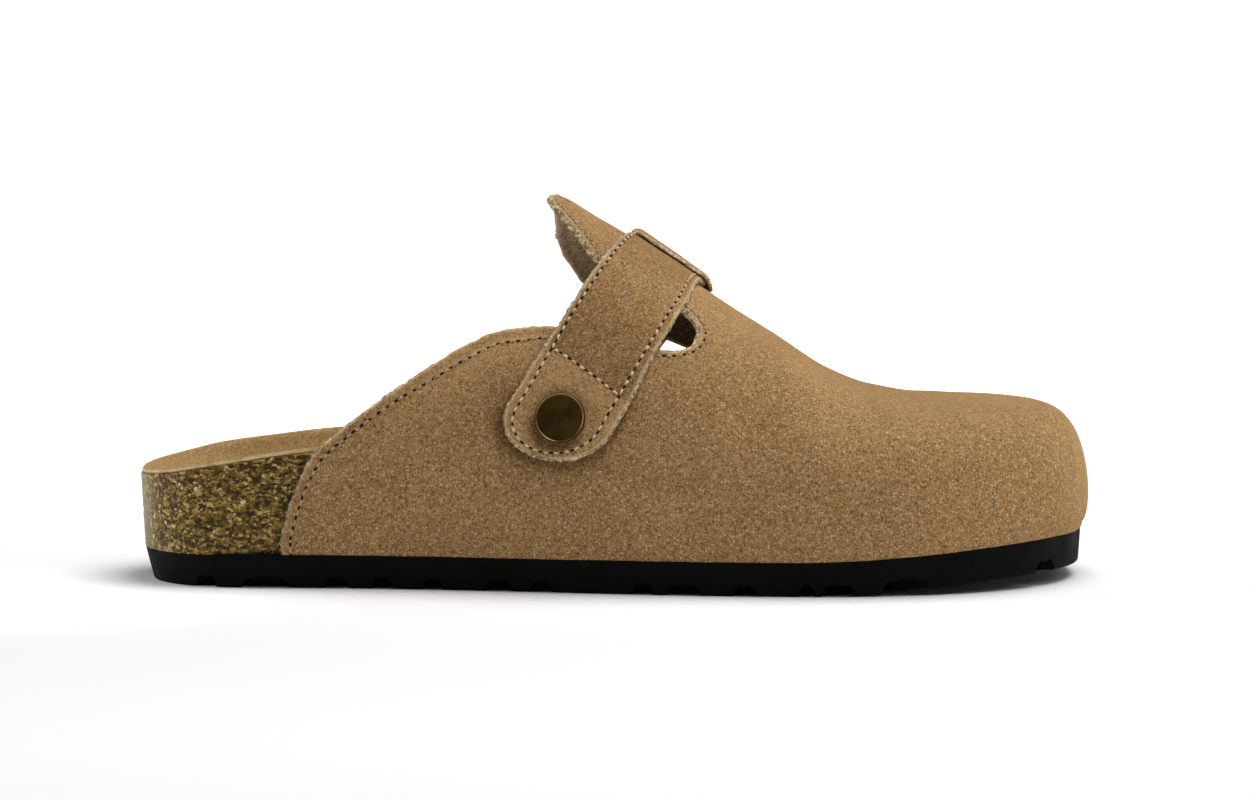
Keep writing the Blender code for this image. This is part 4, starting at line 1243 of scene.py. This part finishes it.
# Straps: two bands of the same suede that meet over the instep, the inner one lying on the outer one's
# tail. Each is sewn round its edge and once across above its stud. The round end stands a little off
# the upper.
STRAP_WALL = 1.85
STRAP_WIDTH = 26.6
STRAP_SLOPE_DEG = 53.0
CREST_X = 15.8
STRAP_BOW = {"lateral": 4.0, "medial": -1.0}     # how far each strap curves back between crest and stud
BOW_POWER = 0.7              # under 1, the curve is strongest nearer the crest
STUD_Z = {"lateral": 48.6, "medial": 46.7}
STRAP_END = {"lateral": -22.0, "medial": -4.2}   # past the crest, towards the other side
END_SKEW = {"lateral": 0.0, "medial": 2.0}       # and less by this at the toe side, more at the heel side
SKEW_REACH = 14.0
CREST_TRIM = {"lateral": (0.0, -1.8), "medial": (1.7, 1.0)}  # added at the crest, heel side and toe side
TRIM_LENGTH = (6.0, 30.0)
EDGE_OUT = 0.5               # that a raw edge stands out past the line it is cut to
STRAP_WAY = {"lateral": 1.0, "medial": -1.0}
SETTLE_START = 25.0
SETTLE = 14.0                # length over which the inner strap comes down on the upper
STRAP_CLEAR = 0.15
END_WALL = 1.3               # the inner strap's cut end is pared to this
END_BEVEL = 0.7              # and slants this much more than its sides
END_BEVEL_WIDTH = (0.5, 0.8)     # share of the half width over which that ends
PARED = 30.0
END_CORNER = 5.0             # radius of the corners of a cut end
CORNER_SHARE = 0.95          # how much of a quarter turn those make
DROOP = (-1.5, 3.5)          # from the outer strap's edges, where it comes down past those
END_GAP = 0.05               # that its cut end stands off the outer strap
END_GAP_REACH = 10.0
END_LIFT = 1.1               # that the round end stands off the upper
LIFT_START = 0.5             # share of the half width, from the stud out, where that starts
END_FLARE = 0.8              # that each side of the round end stands out past the strap's
FLARE_REACH = (10.0, 28.0)   # above the stud, where that fades out
END_SHORT = 0.35             # that the round end falls short of a half circle
STRAP_SEAM = 11.05           # from the middle of a strap to its seam
STRAP_SEAM_SHIFT = -0.45     # which lies nearer to the heel side
STRAP_SEAM_TOP = {"lateral": 5.0, "medial": 4.0}         # from the crest down
CROSS_SEAM = 15.3            # above the stud
CROSS_TILT = 0.3             # and lower by this share of the way across
TAB_TONE_AND_LIGHT = 0.06              # the round end is paler than the strap above its cross seam: paler leather and painted light
TAB_EDGE = (-1.0, 1.0)       # across that seam, where one tone goes over into the other
SEAM_PAINTED_SHADE = -0.07            # painted shade: the strap is darkest just above that
SEAM_SHADE_FADE = (8.0, 38.0)
CREST_PAINTED_SHADE = -0.09           # and painted shade makes it darker again where it bends over the instep
CREST_SHADE_FADE = (32.0, 10.0)
STRAP_FRAY = 0.75            # under 1, a strap's edge is frayed further in than the upper's
SHADOW_WAY = (-0.5, -1.0)    # the light stands high and towards the toe: shadows fall down and back
STRAP_SHADOW = 0.32
STRAP_SHADOW_REACH = 3.2
STRAP_SHADOW_RISE = 12.0     # from the stud up to where the strap throws none
STUD_SHADOW = 0.32
STUD_SHADOW_REACH = 2.3
STUD_RADIUS = 7.2
BAND_SLICES = 25
BAND_SPAN = STRAP_WIDTH + 10.0
BAND_SAMPLES = 160
BAND_LOWEST = 0.06           # angle up a rib, in radians, where the band stops
BAND_BACK_X = -103.0
BAND_FRONT_X = 88.0
BAND_REACH = 100.0
BAND_STEP = 0.5
BAND_INSIDE = 0.001          # that places on the band stay inside its last slice and step
HALVINGS = 40
PROBE = 0.05
STRAP_STEP = 0.8
ROUND_END_ROWS = 22
STRAP_COLUMNS = 41
STRAP_CROWD = 0.9            # nearer 1, the columns are closer at both edges
STRAP_TURNS = np.linspace(-1.0, 1.0, STRAP_COLUMNS) * math.pi / 2 * STRAP_CROWD
STRAP_SHARES = np.sin(STRAP_TURNS) / math.sin(math.pi / 2 * STRAP_CROWD)
SEAM_SAMPLES = 60


def skin_at(name, x, angle):
    """Outer face of the upper at places along the foot and up its ribs, both arrays."""
    edge, out = edge_at(name, length_at(name, x))
    return upper_skin(edge, out, np.stack((x, spine_y(x)), axis=-1), angle)


def skin_normal(name, x, angle):
    along = skin_at(name, x + PROBE, angle) - skin_at(name, x - PROBE, angle)
    up = skin_at(name, x, angle) - skin_at(name, x, angle - PROBE * MM)
    normal = np.cross(along, up) * STRAP_WAY[name]
    return normal / np.linalg.norm(normal, axis=-1, keepdims=True)


def instep_band():
    """Slanting band over the upper, slices across by lengths along: points and ways out in one array.

    Length is 0 on the ridge, more down the lateral side and less down the medial side.
    """
    slope = math.radians(STRAP_SLOPE_DEG)
    across = np.array([math.sin(slope), 0.0, -math.cos(slope)])
    crest = np.array([CREST_X, 0.0, float(column(RIDGE, "height", CREST_X))])
    places = (np.linspace(-0.5, 0.5, BAND_SLICES) * BAND_SPAN)[:, None]
    turn = np.linspace(math.pi / 2, BAND_LOWEST, BAND_SAMPLES)
    angle = np.broadcast_to(turn, (BAND_SLICES, BAND_SAMPLES))
    found = {}
    for name in OUTLINES:
        low = np.full(angle.shape, BAND_BACK_X)
        high = np.full(angle.shape, BAND_FRONT_X)
        for halving in range(HALVINGS):
            middle = 0.5 * (low + high)
            ahead = (skin_at(name, middle, angle) - crest) @ across > places
            high = np.where(ahead, middle, high)
            low = np.where(ahead, low, middle)
        found[name] = np.concatenate((skin_at(name, low, angle), skin_normal(name, low, angle)), axis=-1)
    lengths = np.arange(-BAND_REACH, BAND_REACH + BAND_STEP, BAND_STEP)
    slices = []
    for lateral, medial in zip(found["lateral"], found["medial"]):
        down = np.concatenate((-run_lengths(medial[:, :3])[:0:-1], run_lengths(lateral[:, :3])))
        slices.append(read_off(np.concatenate((medial[:0:-1], lateral)), down, lengths))
    return np.array(slices)


BAND = instep_band()


def on_band(length, width):
    """Points on the upper and ways out at places on the band, both arrays."""
    row = np.clip((width / BAND_SPAN + 0.5) * (BAND_SLICES - 1), 0, BAND_SLICES - 1 - BAND_INSIDE)
    step = np.clip((length + BAND_REACH) / BAND_STEP, 0, BAND.shape[1] - 1 - BAND_INSIDE)
    first = row.astype(int)
    second = step.astype(int)
    across = (row - first)[..., None]
    along = (step - second)[..., None]
    near = BAND[first, second] * (1.0 - along) + BAND[first, second + 1] * along
    far = BAND[first + 1, second] * (1.0 - along) + BAND[first + 1, second + 1] * along
    found = near * (1.0 - across) + far * across
    normal = found[..., 3:]
    return found[..., :3], normal / np.linalg.norm(normal, axis=-1, keepdims=True)


def stud_length(name):
    """Length from the ridge to the stud, down the middle of the band."""
    down = np.arange(0.0, BAND_REACH, BAND_STEP)
    heights = on_band(STRAP_WAY[name] * down, np.zeros_like(down))[0][:, 2]
    return float(np.interp(-STUD_Z[name], -heights, down))


STUD_LENGTH = {name: stud_length(name) for name in OUTLINES}


def stud_seat(name):
    """Point of the upper under the middle of a stud, and the way out there."""
    return on_band(np.array(STRAP_WAY[name] * STUD_LENGTH[name]), np.array(0.0))


def strap_wall(name, length):
    """Thickness of a strap at lengths down from the crest."""
    if name == "lateral":
        return np.full_like(length, STRAP_WALL)
    return END_WALL + (STRAP_WALL - END_WALL) * between(length, STRAP_END[name], STRAP_END[name] + PARED)


def strap_top(name, length, width):
    """Outer face of a strap at lengths down from the crest and places across it, both arrays."""
    stud = STUD_LENGTH[name]
    way = STRAP_WAY[name]
    half = 0.5 * STRAP_WIDTH
    bow = STRAP_BOW[name] * np.sin(math.pi * np.clip(length / stud, 0.0, 1.0) ** BOW_POWER)
    heel_trim, toe_trim = CREST_TRIM[name]
    trim = toe_trim * np.clip(width / half, 0.0, 1.0) + heel_trim * np.clip(width / half, -1.0, 0.0)
    place = width - bow + trim * (1.0 - between(length, *TRIM_LENGTH))
    lift = STRAP_CLEAR + strap_wall(name, length)
    if name == "medial":
        raised = 1.0 - between(length, SETTLE_START, SETTLE_START + SETTLE)
        past_edge = np.maximum(place - half - CREST_TRIM["lateral"][1], -place - half)
        lift = lift + (STRAP_CLEAR + STRAP_WALL) * raised * (1.0 - between(past_edge, *DROOP))
        lift = lift + END_GAP * (1.0 - between(length, STRAP_END[name], STRAP_END[name] + END_GAP_REACH))
    point, normal = on_band(way * length, place)
    away = np.hypot(np.clip(length - stud, -half, half), width) / half
    near_end = smoothstep((length - stud + half) / half)
    lift = lift + END_LIFT * near_end * between(away, LIFT_START, 1.0)
    return point + normal * np.asarray(lift)[..., None]


def strap_grid(name):
    half = 0.5 * STRAP_WIDTH - EDGE_OUT
    stud = STUD_LENGTH[name]
    turn = np.linspace(0.0, math.pi / 2, ROUND_END_ROWS)
    rest = np.linspace(stud, STRAP_END[name], round((stud - STRAP_END[name]) / STRAP_STEP))[1:]
    length = np.concatenate((stud + (half - END_SHORT) * np.cos(turn), rest))
    flare = END_FLARE * (1.0 - between(stud - length, *FLARE_REACH))
    reach = (half + flare) * np.concatenate((np.sin(turn), np.ones_like(rest)))
    corner = CORNER_SHARE * np.clip(1.0 + (np.abs(STRAP_SHARES) - 1.0) * half / END_CORNER, 0.0, 1.0)
    set_back = END_SKEW[name] * STRAP_SHARES + END_CORNER * (1.0 - np.sqrt(1.0 - corner ** 2))
    near_end = 1.0 - between(length, STRAP_END[name], STRAP_END[name] + SKEW_REACH)
    length = length[:, None] + near_end[:, None] * set_back
    return strap_top(name, length, reach[:, None] * STRAP_SHARES), strap_wall(name, length)


def cross_seam(name):
    width = STRAP_SEAM_SHIFT + np.linspace(-1.0, 1.0, SEAM_SAMPLES) * STRAP_SEAM
    return strap_top(name, STUD_LENGTH[name] - CROSS_SEAM + CROSS_TILT * width, width)


def strap_line(name):
    """Seam line round a strap."""
    stud = STUD_LENGTH[name]
    down = np.linspace(STRAP_SEAM_TOP[name], stud, 2 * SEAM_SAMPLES)
    turn = np.linspace(-math.pi / 2, math.pi / 2, SEAM_SAMPLES)[1:-1]
    length = np.concatenate((down, stud + STRAP_SEAM * np.cos(turn), down[::-1]))
    share = np.concatenate((np.full_like(down, -1.0), np.sin(turn), np.full_like(down, 1.0)))
    return strap_top(name, length, STRAP_SEAM_SHIFT + STRAP_SEAM * share)


def shadow_tone(away, reach, depth):
    """Tone of the soft shadow beside a raised edge, from the ways from that edge to points.

    They are taken as seen from the side.
    """
    away = away * (1.0, 0.0, 1.0)
    gap = np.linalg.norm(away, axis=1)
    ways = away / np.maximum(gap, WELD)[:, None]
    side = np.clip(SHADOW_WAY[0] * ways[:, 0] + SHADOW_WAY[1] * ways[:, 2], 0.0, 1.0)
    return -depth * np.exp(-(gap / reach) ** 2) * side


def strap_tones_and_shade(name, points, middle):
    """Tones, painted light and painted shade on a strap at points of its face, from the line down its
    middle.
    """
    middle = dense(middle, middle)
    above = nearest_edge(points, middle)[0] * DENSE_STEP
    crest = STUD_LENGTH[name] + 0.5 * STRAP_WIDTH
    tab_top = dense(cross_seam(name), cross_seam(name))
    across = nearest_edge(points, tab_top)[0]
    over_seam = above - nearest_edge(tab_top, middle)[0][across] * DENSE_STEP
    past_tab = between(over_seam, *TAB_EDGE)
    shade = TAB_TONE_AND_LIGHT * (1.0 - past_tab)
    shade += SEAM_PAINTED_SHADE * past_tab * (1.0 - between(over_seam, *SEAM_SHADE_FADE))
    shade += CREST_PAINTED_SHADE * between(above, crest - CREST_SHADE_FADE[0], crest - CREST_SHADE_FADE[1])
    seat, way_out = stud_seat(name)
    from_stud = points - seat
    from_stud -= way_out * (from_stud @ way_out)[:, None]
    reach = np.linalg.norm(from_stud, axis=1, keepdims=True)
    from_rim = from_stud * np.clip(1.0 - STUD_RADIUS / np.maximum(reach, WELD), 0.0, 1.0)
    return shade + shadow_tone(from_rim, STUD_SHADOW_REACH, STUD_SHADOW)


strap_faces = {}
for name in OUTLINES:
    grid, walls = strap_grid(name)
    edges = [squared_edge(grid[1:, 0], grid[1:, 0] - grid[1:, 1]),
             squared_edge(grid[1:, -1], grid[1:, -1] - grid[1:, -2]),
             squared_edge(grid[-1], grid[-1] - grid[-2])]
    face = grid_mesh("strap_face_" + name, [(grid, name == "lateral")])
    nearest = nearest_edge(mesh_points(face), grid.reshape(-1, 3))[0]
    walls = walls.reshape(-1)[nearest]
    inner_part = 1.0 - between(np.abs(STRAP_SHARES[nearest % len(STRAP_SHARES)]), *END_BEVEL_WIDTH)
    gap = work_leather(face, edges, None, [cross_seam(name), strap_line(name)])
    set_attribute(face, "edge", gap * STRAP_FRAY)
    set_attribute(face, "shade", strap_tones_and_shade(name, mesh_points(face), grid[:, grid.shape[1] // 2]))
    # The strap's soft shadow on the upper is a tone of the suede, which its inner face takes too
    outline = dense_edges(edges[:2])[0]
    nearest = nearest_edge(upper_points, outline)[0]
    low_down = 1.0 - between(upper_points[:, 2], STUD_Z[name], STUD_Z[name] + STRAP_SHADOW_RISE)
    beside = shadow_tone(upper_points - outline[nearest], STRAP_SHADOW_REACH, STRAP_SHADOW)
    upper_shade += low_down * beside
    strap_faces[name] = face
    bevels = EDGE_BEVEL + END_BEVEL * inner_part * (STRAP_WALL - walls) / (STRAP_WALL - END_WALL)
    strap = link("strap_suede_" + name, shell("strap_suede_" + name, face, walls, gap, bevels),
                 suede, raw_edge, flesh_side)
    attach(strap, "root")
    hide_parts("strap_" + name)
set_attribute(upper.data, "shade", upper_shade)

# Studs: caps of thin brass sheet, pressed with a raised rim and browned to an antique bronze. A thin ring
# on
# the rim is paler than the face: rubbed brass with a painted highlight. Each is riveted through its strap
# and the upper.
CAP_SEAT = 1.7               # above the upper
CAP_PROFILE = [
    (0.0, 1.68), (2.0, 1.67), (4.0, 1.64), (5.8, 1.6), (6.4, 1.59), (6.52, 1.64), (6.62, 1.76),
    (6.74, 1.85), (6.86, 1.87), (6.98, 1.81), (7.09, 1.66), (7.17, 1.4), (7.2, 1.0), (7.15, 0.5),
    (7.0, 0.1), (6.6, -0.3), (6.0, -0.3),
]
CAP_STEPS = 96
RUB_HIGHLIGHT_START = (0.00680, 0.00690)       # metres from the middle of a stud, where the rim's pale ring of rubbed brass and painted highlight starts
RUB_HIGHLIGHT_END = (0.00700, 0.00708)
RUB_GLOSS = -0.14            # added to the roughness there
bronze, bronze_shader = new_material("bronze", Metallic=0.85, Roughness=0.42)
bronze_place = object_place(bronze)
bronze_reach = add_node(bronze, "VectorMath", Vector=bronze_place)
bronze_reach.operation = "LENGTH"
bronze_rub_highlight = calculated(bronze, "MULTIPLY", remap(bronze, bronze_reach.outputs["Value"], *RUB_HIGHLIGHT_START),
                        remap(bronze, bronze_reach.outputs["Value"], *RUB_HIGHLIGHT_END, 1.0, 0.0))
bronze_patina = noise_at(bronze, bronze_place, scale=220.0, detail=4.0, rough=0.6)
bronze_face = tones(bronze, bronze_patina, (0.35, srgb(70, 51, 18)), (0.65, srgb(88, 66, 25)))
bronze_rim_highlight = tones(bronze, bronze_patina, (0.35, srgb(140, 114, 66)), (0.65, srgb(182, 154, 100)))
plug(bronze, bronze_shader.inputs["Base Color"], mixed(bronze, bronze_rub_highlight, bronze_face, bronze_rim_highlight))
plug(bronze, bronze_shader.inputs["Roughness"],
     weighted(bronze, remap(bronze, bronze_patina, 0.3, 0.7, 0.36, 0.5), (bronze_rub_highlight, RUB_GLOSS)))
bronze_grain = noise_at(bronze, bronze_place, scale=700.0, detail=3.0)
bumped(bronze, bronze_shader, bronze_grain, strength=0.08, distance=0.1)
for name in OUTLINES:
    seat, way_out = stud_seat(name)
    cap = link("stud_cap_" + name, turned("stud_cap_" + name, CAP_PROFILE, CAP_STEPS), bronze)
    cap.location = Vector(seat + way_out * CAP_SEAT) * MM
    cap.rotation_euler = Vector((0.0, 0.0, 1.0)).rotation_difference(Vector(way_out)).to_euler()
    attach(cap, "root")
    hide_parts("stud_" + name)

# Stitches: waxed thread, laid by machine, that dips into a needle hole between one stitch and the next.
# It is light on the straps. Around the collar, notches and tongue it is browner and sinks into the nap.
PITCH = 3.0
STITCH_SPAN = (0.26, 0.76)   # share of the pitch that a stitch covers
STITCH_STEPS = 8
STITCH_SIDES = 8
THREAD_RADIUS = 0.36
THREAD_RISE = 0.32
THREAD_DIP = 0.2             # that a stitch's ends lie under the face
THREAD_END = 0.35            # share of its girth that it has there
THREAD_FLAT = 0.8            # share of its width that it is high
RISE_POWER = 0.6             # under 1, it rises steeply from its ends
GIRTH_POWER = 0.5
LEAN_SPREAD = 0.06
RISE_SPREAD = 0.03
GIRTH_SPREAD = (0.85, 1.12)
HOLE_SPREAD = (0.85, 1.15)
LOOK = 0.2                   # each way along a seam, to find its direction
HOLE_RADII = (0.60, 0.37)    # along and across the seam
HOLE_SIDES = 12
TONGUE_HOLES = 0.5           # the tongue's needle holes are half closed by its nap
HOLE_LIFT = 0.06
TRIM = 0.93                  # share of the inset nearer than which a seam would cross itself
SEED = 4


def face_tree(mesh):
    return BVHTree.FromPolygons([vert.co / MM for vert in mesh.vertices],
                                [tuple(face.vertices) for face in mesh.polygons])


def laid_on(tree, points):
    """Points moved onto a face, and the ways out there."""
    found = [tree.find_nearest(Vector(point)) for point in points]
    return np.array([place for place, normal, index, gap in found]), \
        np.array([normal for place, normal, index, gap in found])


def sewn(name, line, tree, rng, hole_share):
    """Mesh of a row of stitches along a line: thread in material 0, needle holes in material 1."""
    lengths = run_lengths(line)
    count = round(lengths[-1] / PITCH)
    pitch = lengths[-1] / count
    points = []
    faces = []
    kinds = []

    def frame_at(place):
        spot, normal = laid_on(tree, read_off(line, lengths, place))
        ahead = read_off(line, lengths, place + LOOK) - read_off(line, lengths, place - LOOK)
        ahead -= normal * np.sum(ahead * normal, axis=1, keepdims=True)
        ahead /= np.linalg.norm(ahead, axis=1, keepdims=True)
        return spot, normal, ahead, np.cross(normal, ahead)

    share = np.linspace(0.0, 1.0, STITCH_STEPS)
    arch = np.sin(math.pi * share)
    rise = -THREAD_DIP + (THREAD_RISE + THREAD_DIP) * arch ** RISE_POWER
    girth = THREAD_RADIUS * (THREAD_END + (1.0 - THREAD_END) * arch ** GIRTH_POWER)
    around = np.linspace(0.0, 2.0 * math.pi, STITCH_SIDES, endpoint=False)
    for stitch in range(count):
        start = pitch * (stitch + STITCH_SPAN[0])
        spot, normal, ahead, side = frame_at(start + pitch * (STITCH_SPAN[1] - STITCH_SPAN[0]) * share)
        lean = rng.normal(0.0, LEAN_SPREAD) * (share - 0.5) * 2
        width = girth * rng.uniform(*GIRTH_SPREAD)
        lift = rise + rng.normal(0.0, RISE_SPREAD)
        middle = spot + normal * lift[:, None] + side * lean[:, None]
        ring = middle[:, None] + side[:, None] * (width[:, None] * np.cos(around))[..., None] \
            + normal[:, None] * (THREAD_FLAT * width[:, None] * np.sin(around))[..., None]
        first = sum(len(block) for block in points)
        points.append(ring.reshape(-1, 3))
        last = first + (STITCH_STEPS - 1) * STITCH_SIDES
        for here in range(first, last, STITCH_SIDES):
            there = here + STITCH_SIDES
            for corner in range(STITCH_SIDES):
                after = (corner + 1) % STITCH_SIDES
                faces.append((here + corner, here + after, there + after, there + corner))
        faces.append(tuple(reversed(range(first, first + STITCH_SIDES))))
        faces.append(tuple(range(last, last + STITCH_SIDES)))
        kinds += [0] * ((STITCH_STEPS - 1) * STITCH_SIDES + 2)
    # Needle holes: flat dark discs just over the face, painted shade where each hole would be
    turn = np.linspace(0.0, 2.0 * math.pi, HOLE_SIDES, endpoint=False)
    spots, normals, aheads, sides = frame_at(pitch * np.arange(count + 1))
    for spot, normal, ahead, side in zip(spots, normals, aheads, sides):
        size = hole_share * rng.uniform(*HOLE_SPREAD)
        first = sum(len(block) for block in points)
        points.append(spot + normal * HOLE_LIFT + size * (HOLE_RADII[0] * np.cos(turn)[:, None] * ahead
                                                          + HOLE_RADII[1] * np.sin(turn)[:, None] * side))
        faces.append(tuple(range(first, first + HOLE_SIDES)))
        kinds.append(1)
    mesh = bpy.data.meshes.new(name)
    mesh.from_pydata((np.concatenate(points) * MM).tolist(), [], faces)
    mesh.polygons.foreach_set("material_index", kinds)
    mesh.shade_smooth()
    mesh.update()
    return mesh


def thread_material(name, dark, light):
    material, shader = new_material(name, Roughness=0.7, Specular_IOR_Level=0.3)
    twist = noise_at(material, object_place(material), scale=1500.0, detail=2.0)
    plug(material, shader.inputs["Base Color"], tones(material, twist, (0.35, dark), (0.65, light)))
    bumped(material, shader, twist, strength=0.5, distance=0.2)
    return material


def inset_line(edges):
    """Seam line inside a run of cut edges, without the loops that it would make in corners."""
    places, outward = dense_edges(edges)
    inset = upper_inset(places)
    line = places - outward * inset[:, None]
    return line[nearest_edge(line, places)[1] > TRIM * inset]


rng = np.random.default_rng(SEED)
strap_thread = thread_material("strap_thread", srgb(196, 166, 130), srgb(246, 226, 196))
collar_thread = thread_material("collar_thread", srgb(146, 122, 92), srgb(208, 186, 154))
# The needle holes' dark colour is painted shade that stands in for the depth of a hole
needle_hole, needle_hole_shader = new_material("needle_hole", Roughness=1.0, Specular_IOR_Level=0.0)
needle_hole_shade_tone = noise_at(needle_hole, object_place(needle_hole), scale=900.0)
plug(needle_hole, needle_hole_shader.inputs["Base Color"],
     tones(needle_hole, needle_hole_shade_tone, (0.3, srgb(30, 21, 13)), (0.7, srgb(60, 44, 29))))
upper_tree = face_tree(upper_face)
for name in OUTLINES:
    strap_tree = face_tree(strap_faces[name])
    parts = upper_edges[name]
    tongue_back = tuple(side[::-1] for side in parts["tongue"])
    collar_line = inset_line([parts["rear"], parts["collar"]])
    tongue_line = inset_line([tongue_back])
    rows = [("stitches_collar_" + name, collar_line, upper_tree, collar_thread, 1.0),
            ("stitches_tongue_" + name, tongue_line, upper_tree, collar_thread, TONGUE_HOLES),
            ("stitches_strap_" + name, strap_line(name), strap_tree, strap_thread, 1.0),
            ("stitches_cross_" + name, cross_seam(name), strap_tree, strap_thread, 1.0)]
    for row_name, line, tree, thread, hole_share in rows:
        stitches = link(row_name, sewn(row_name, line, tree, rng, hole_share), thread, needle_hole)
        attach(stitches, "root")
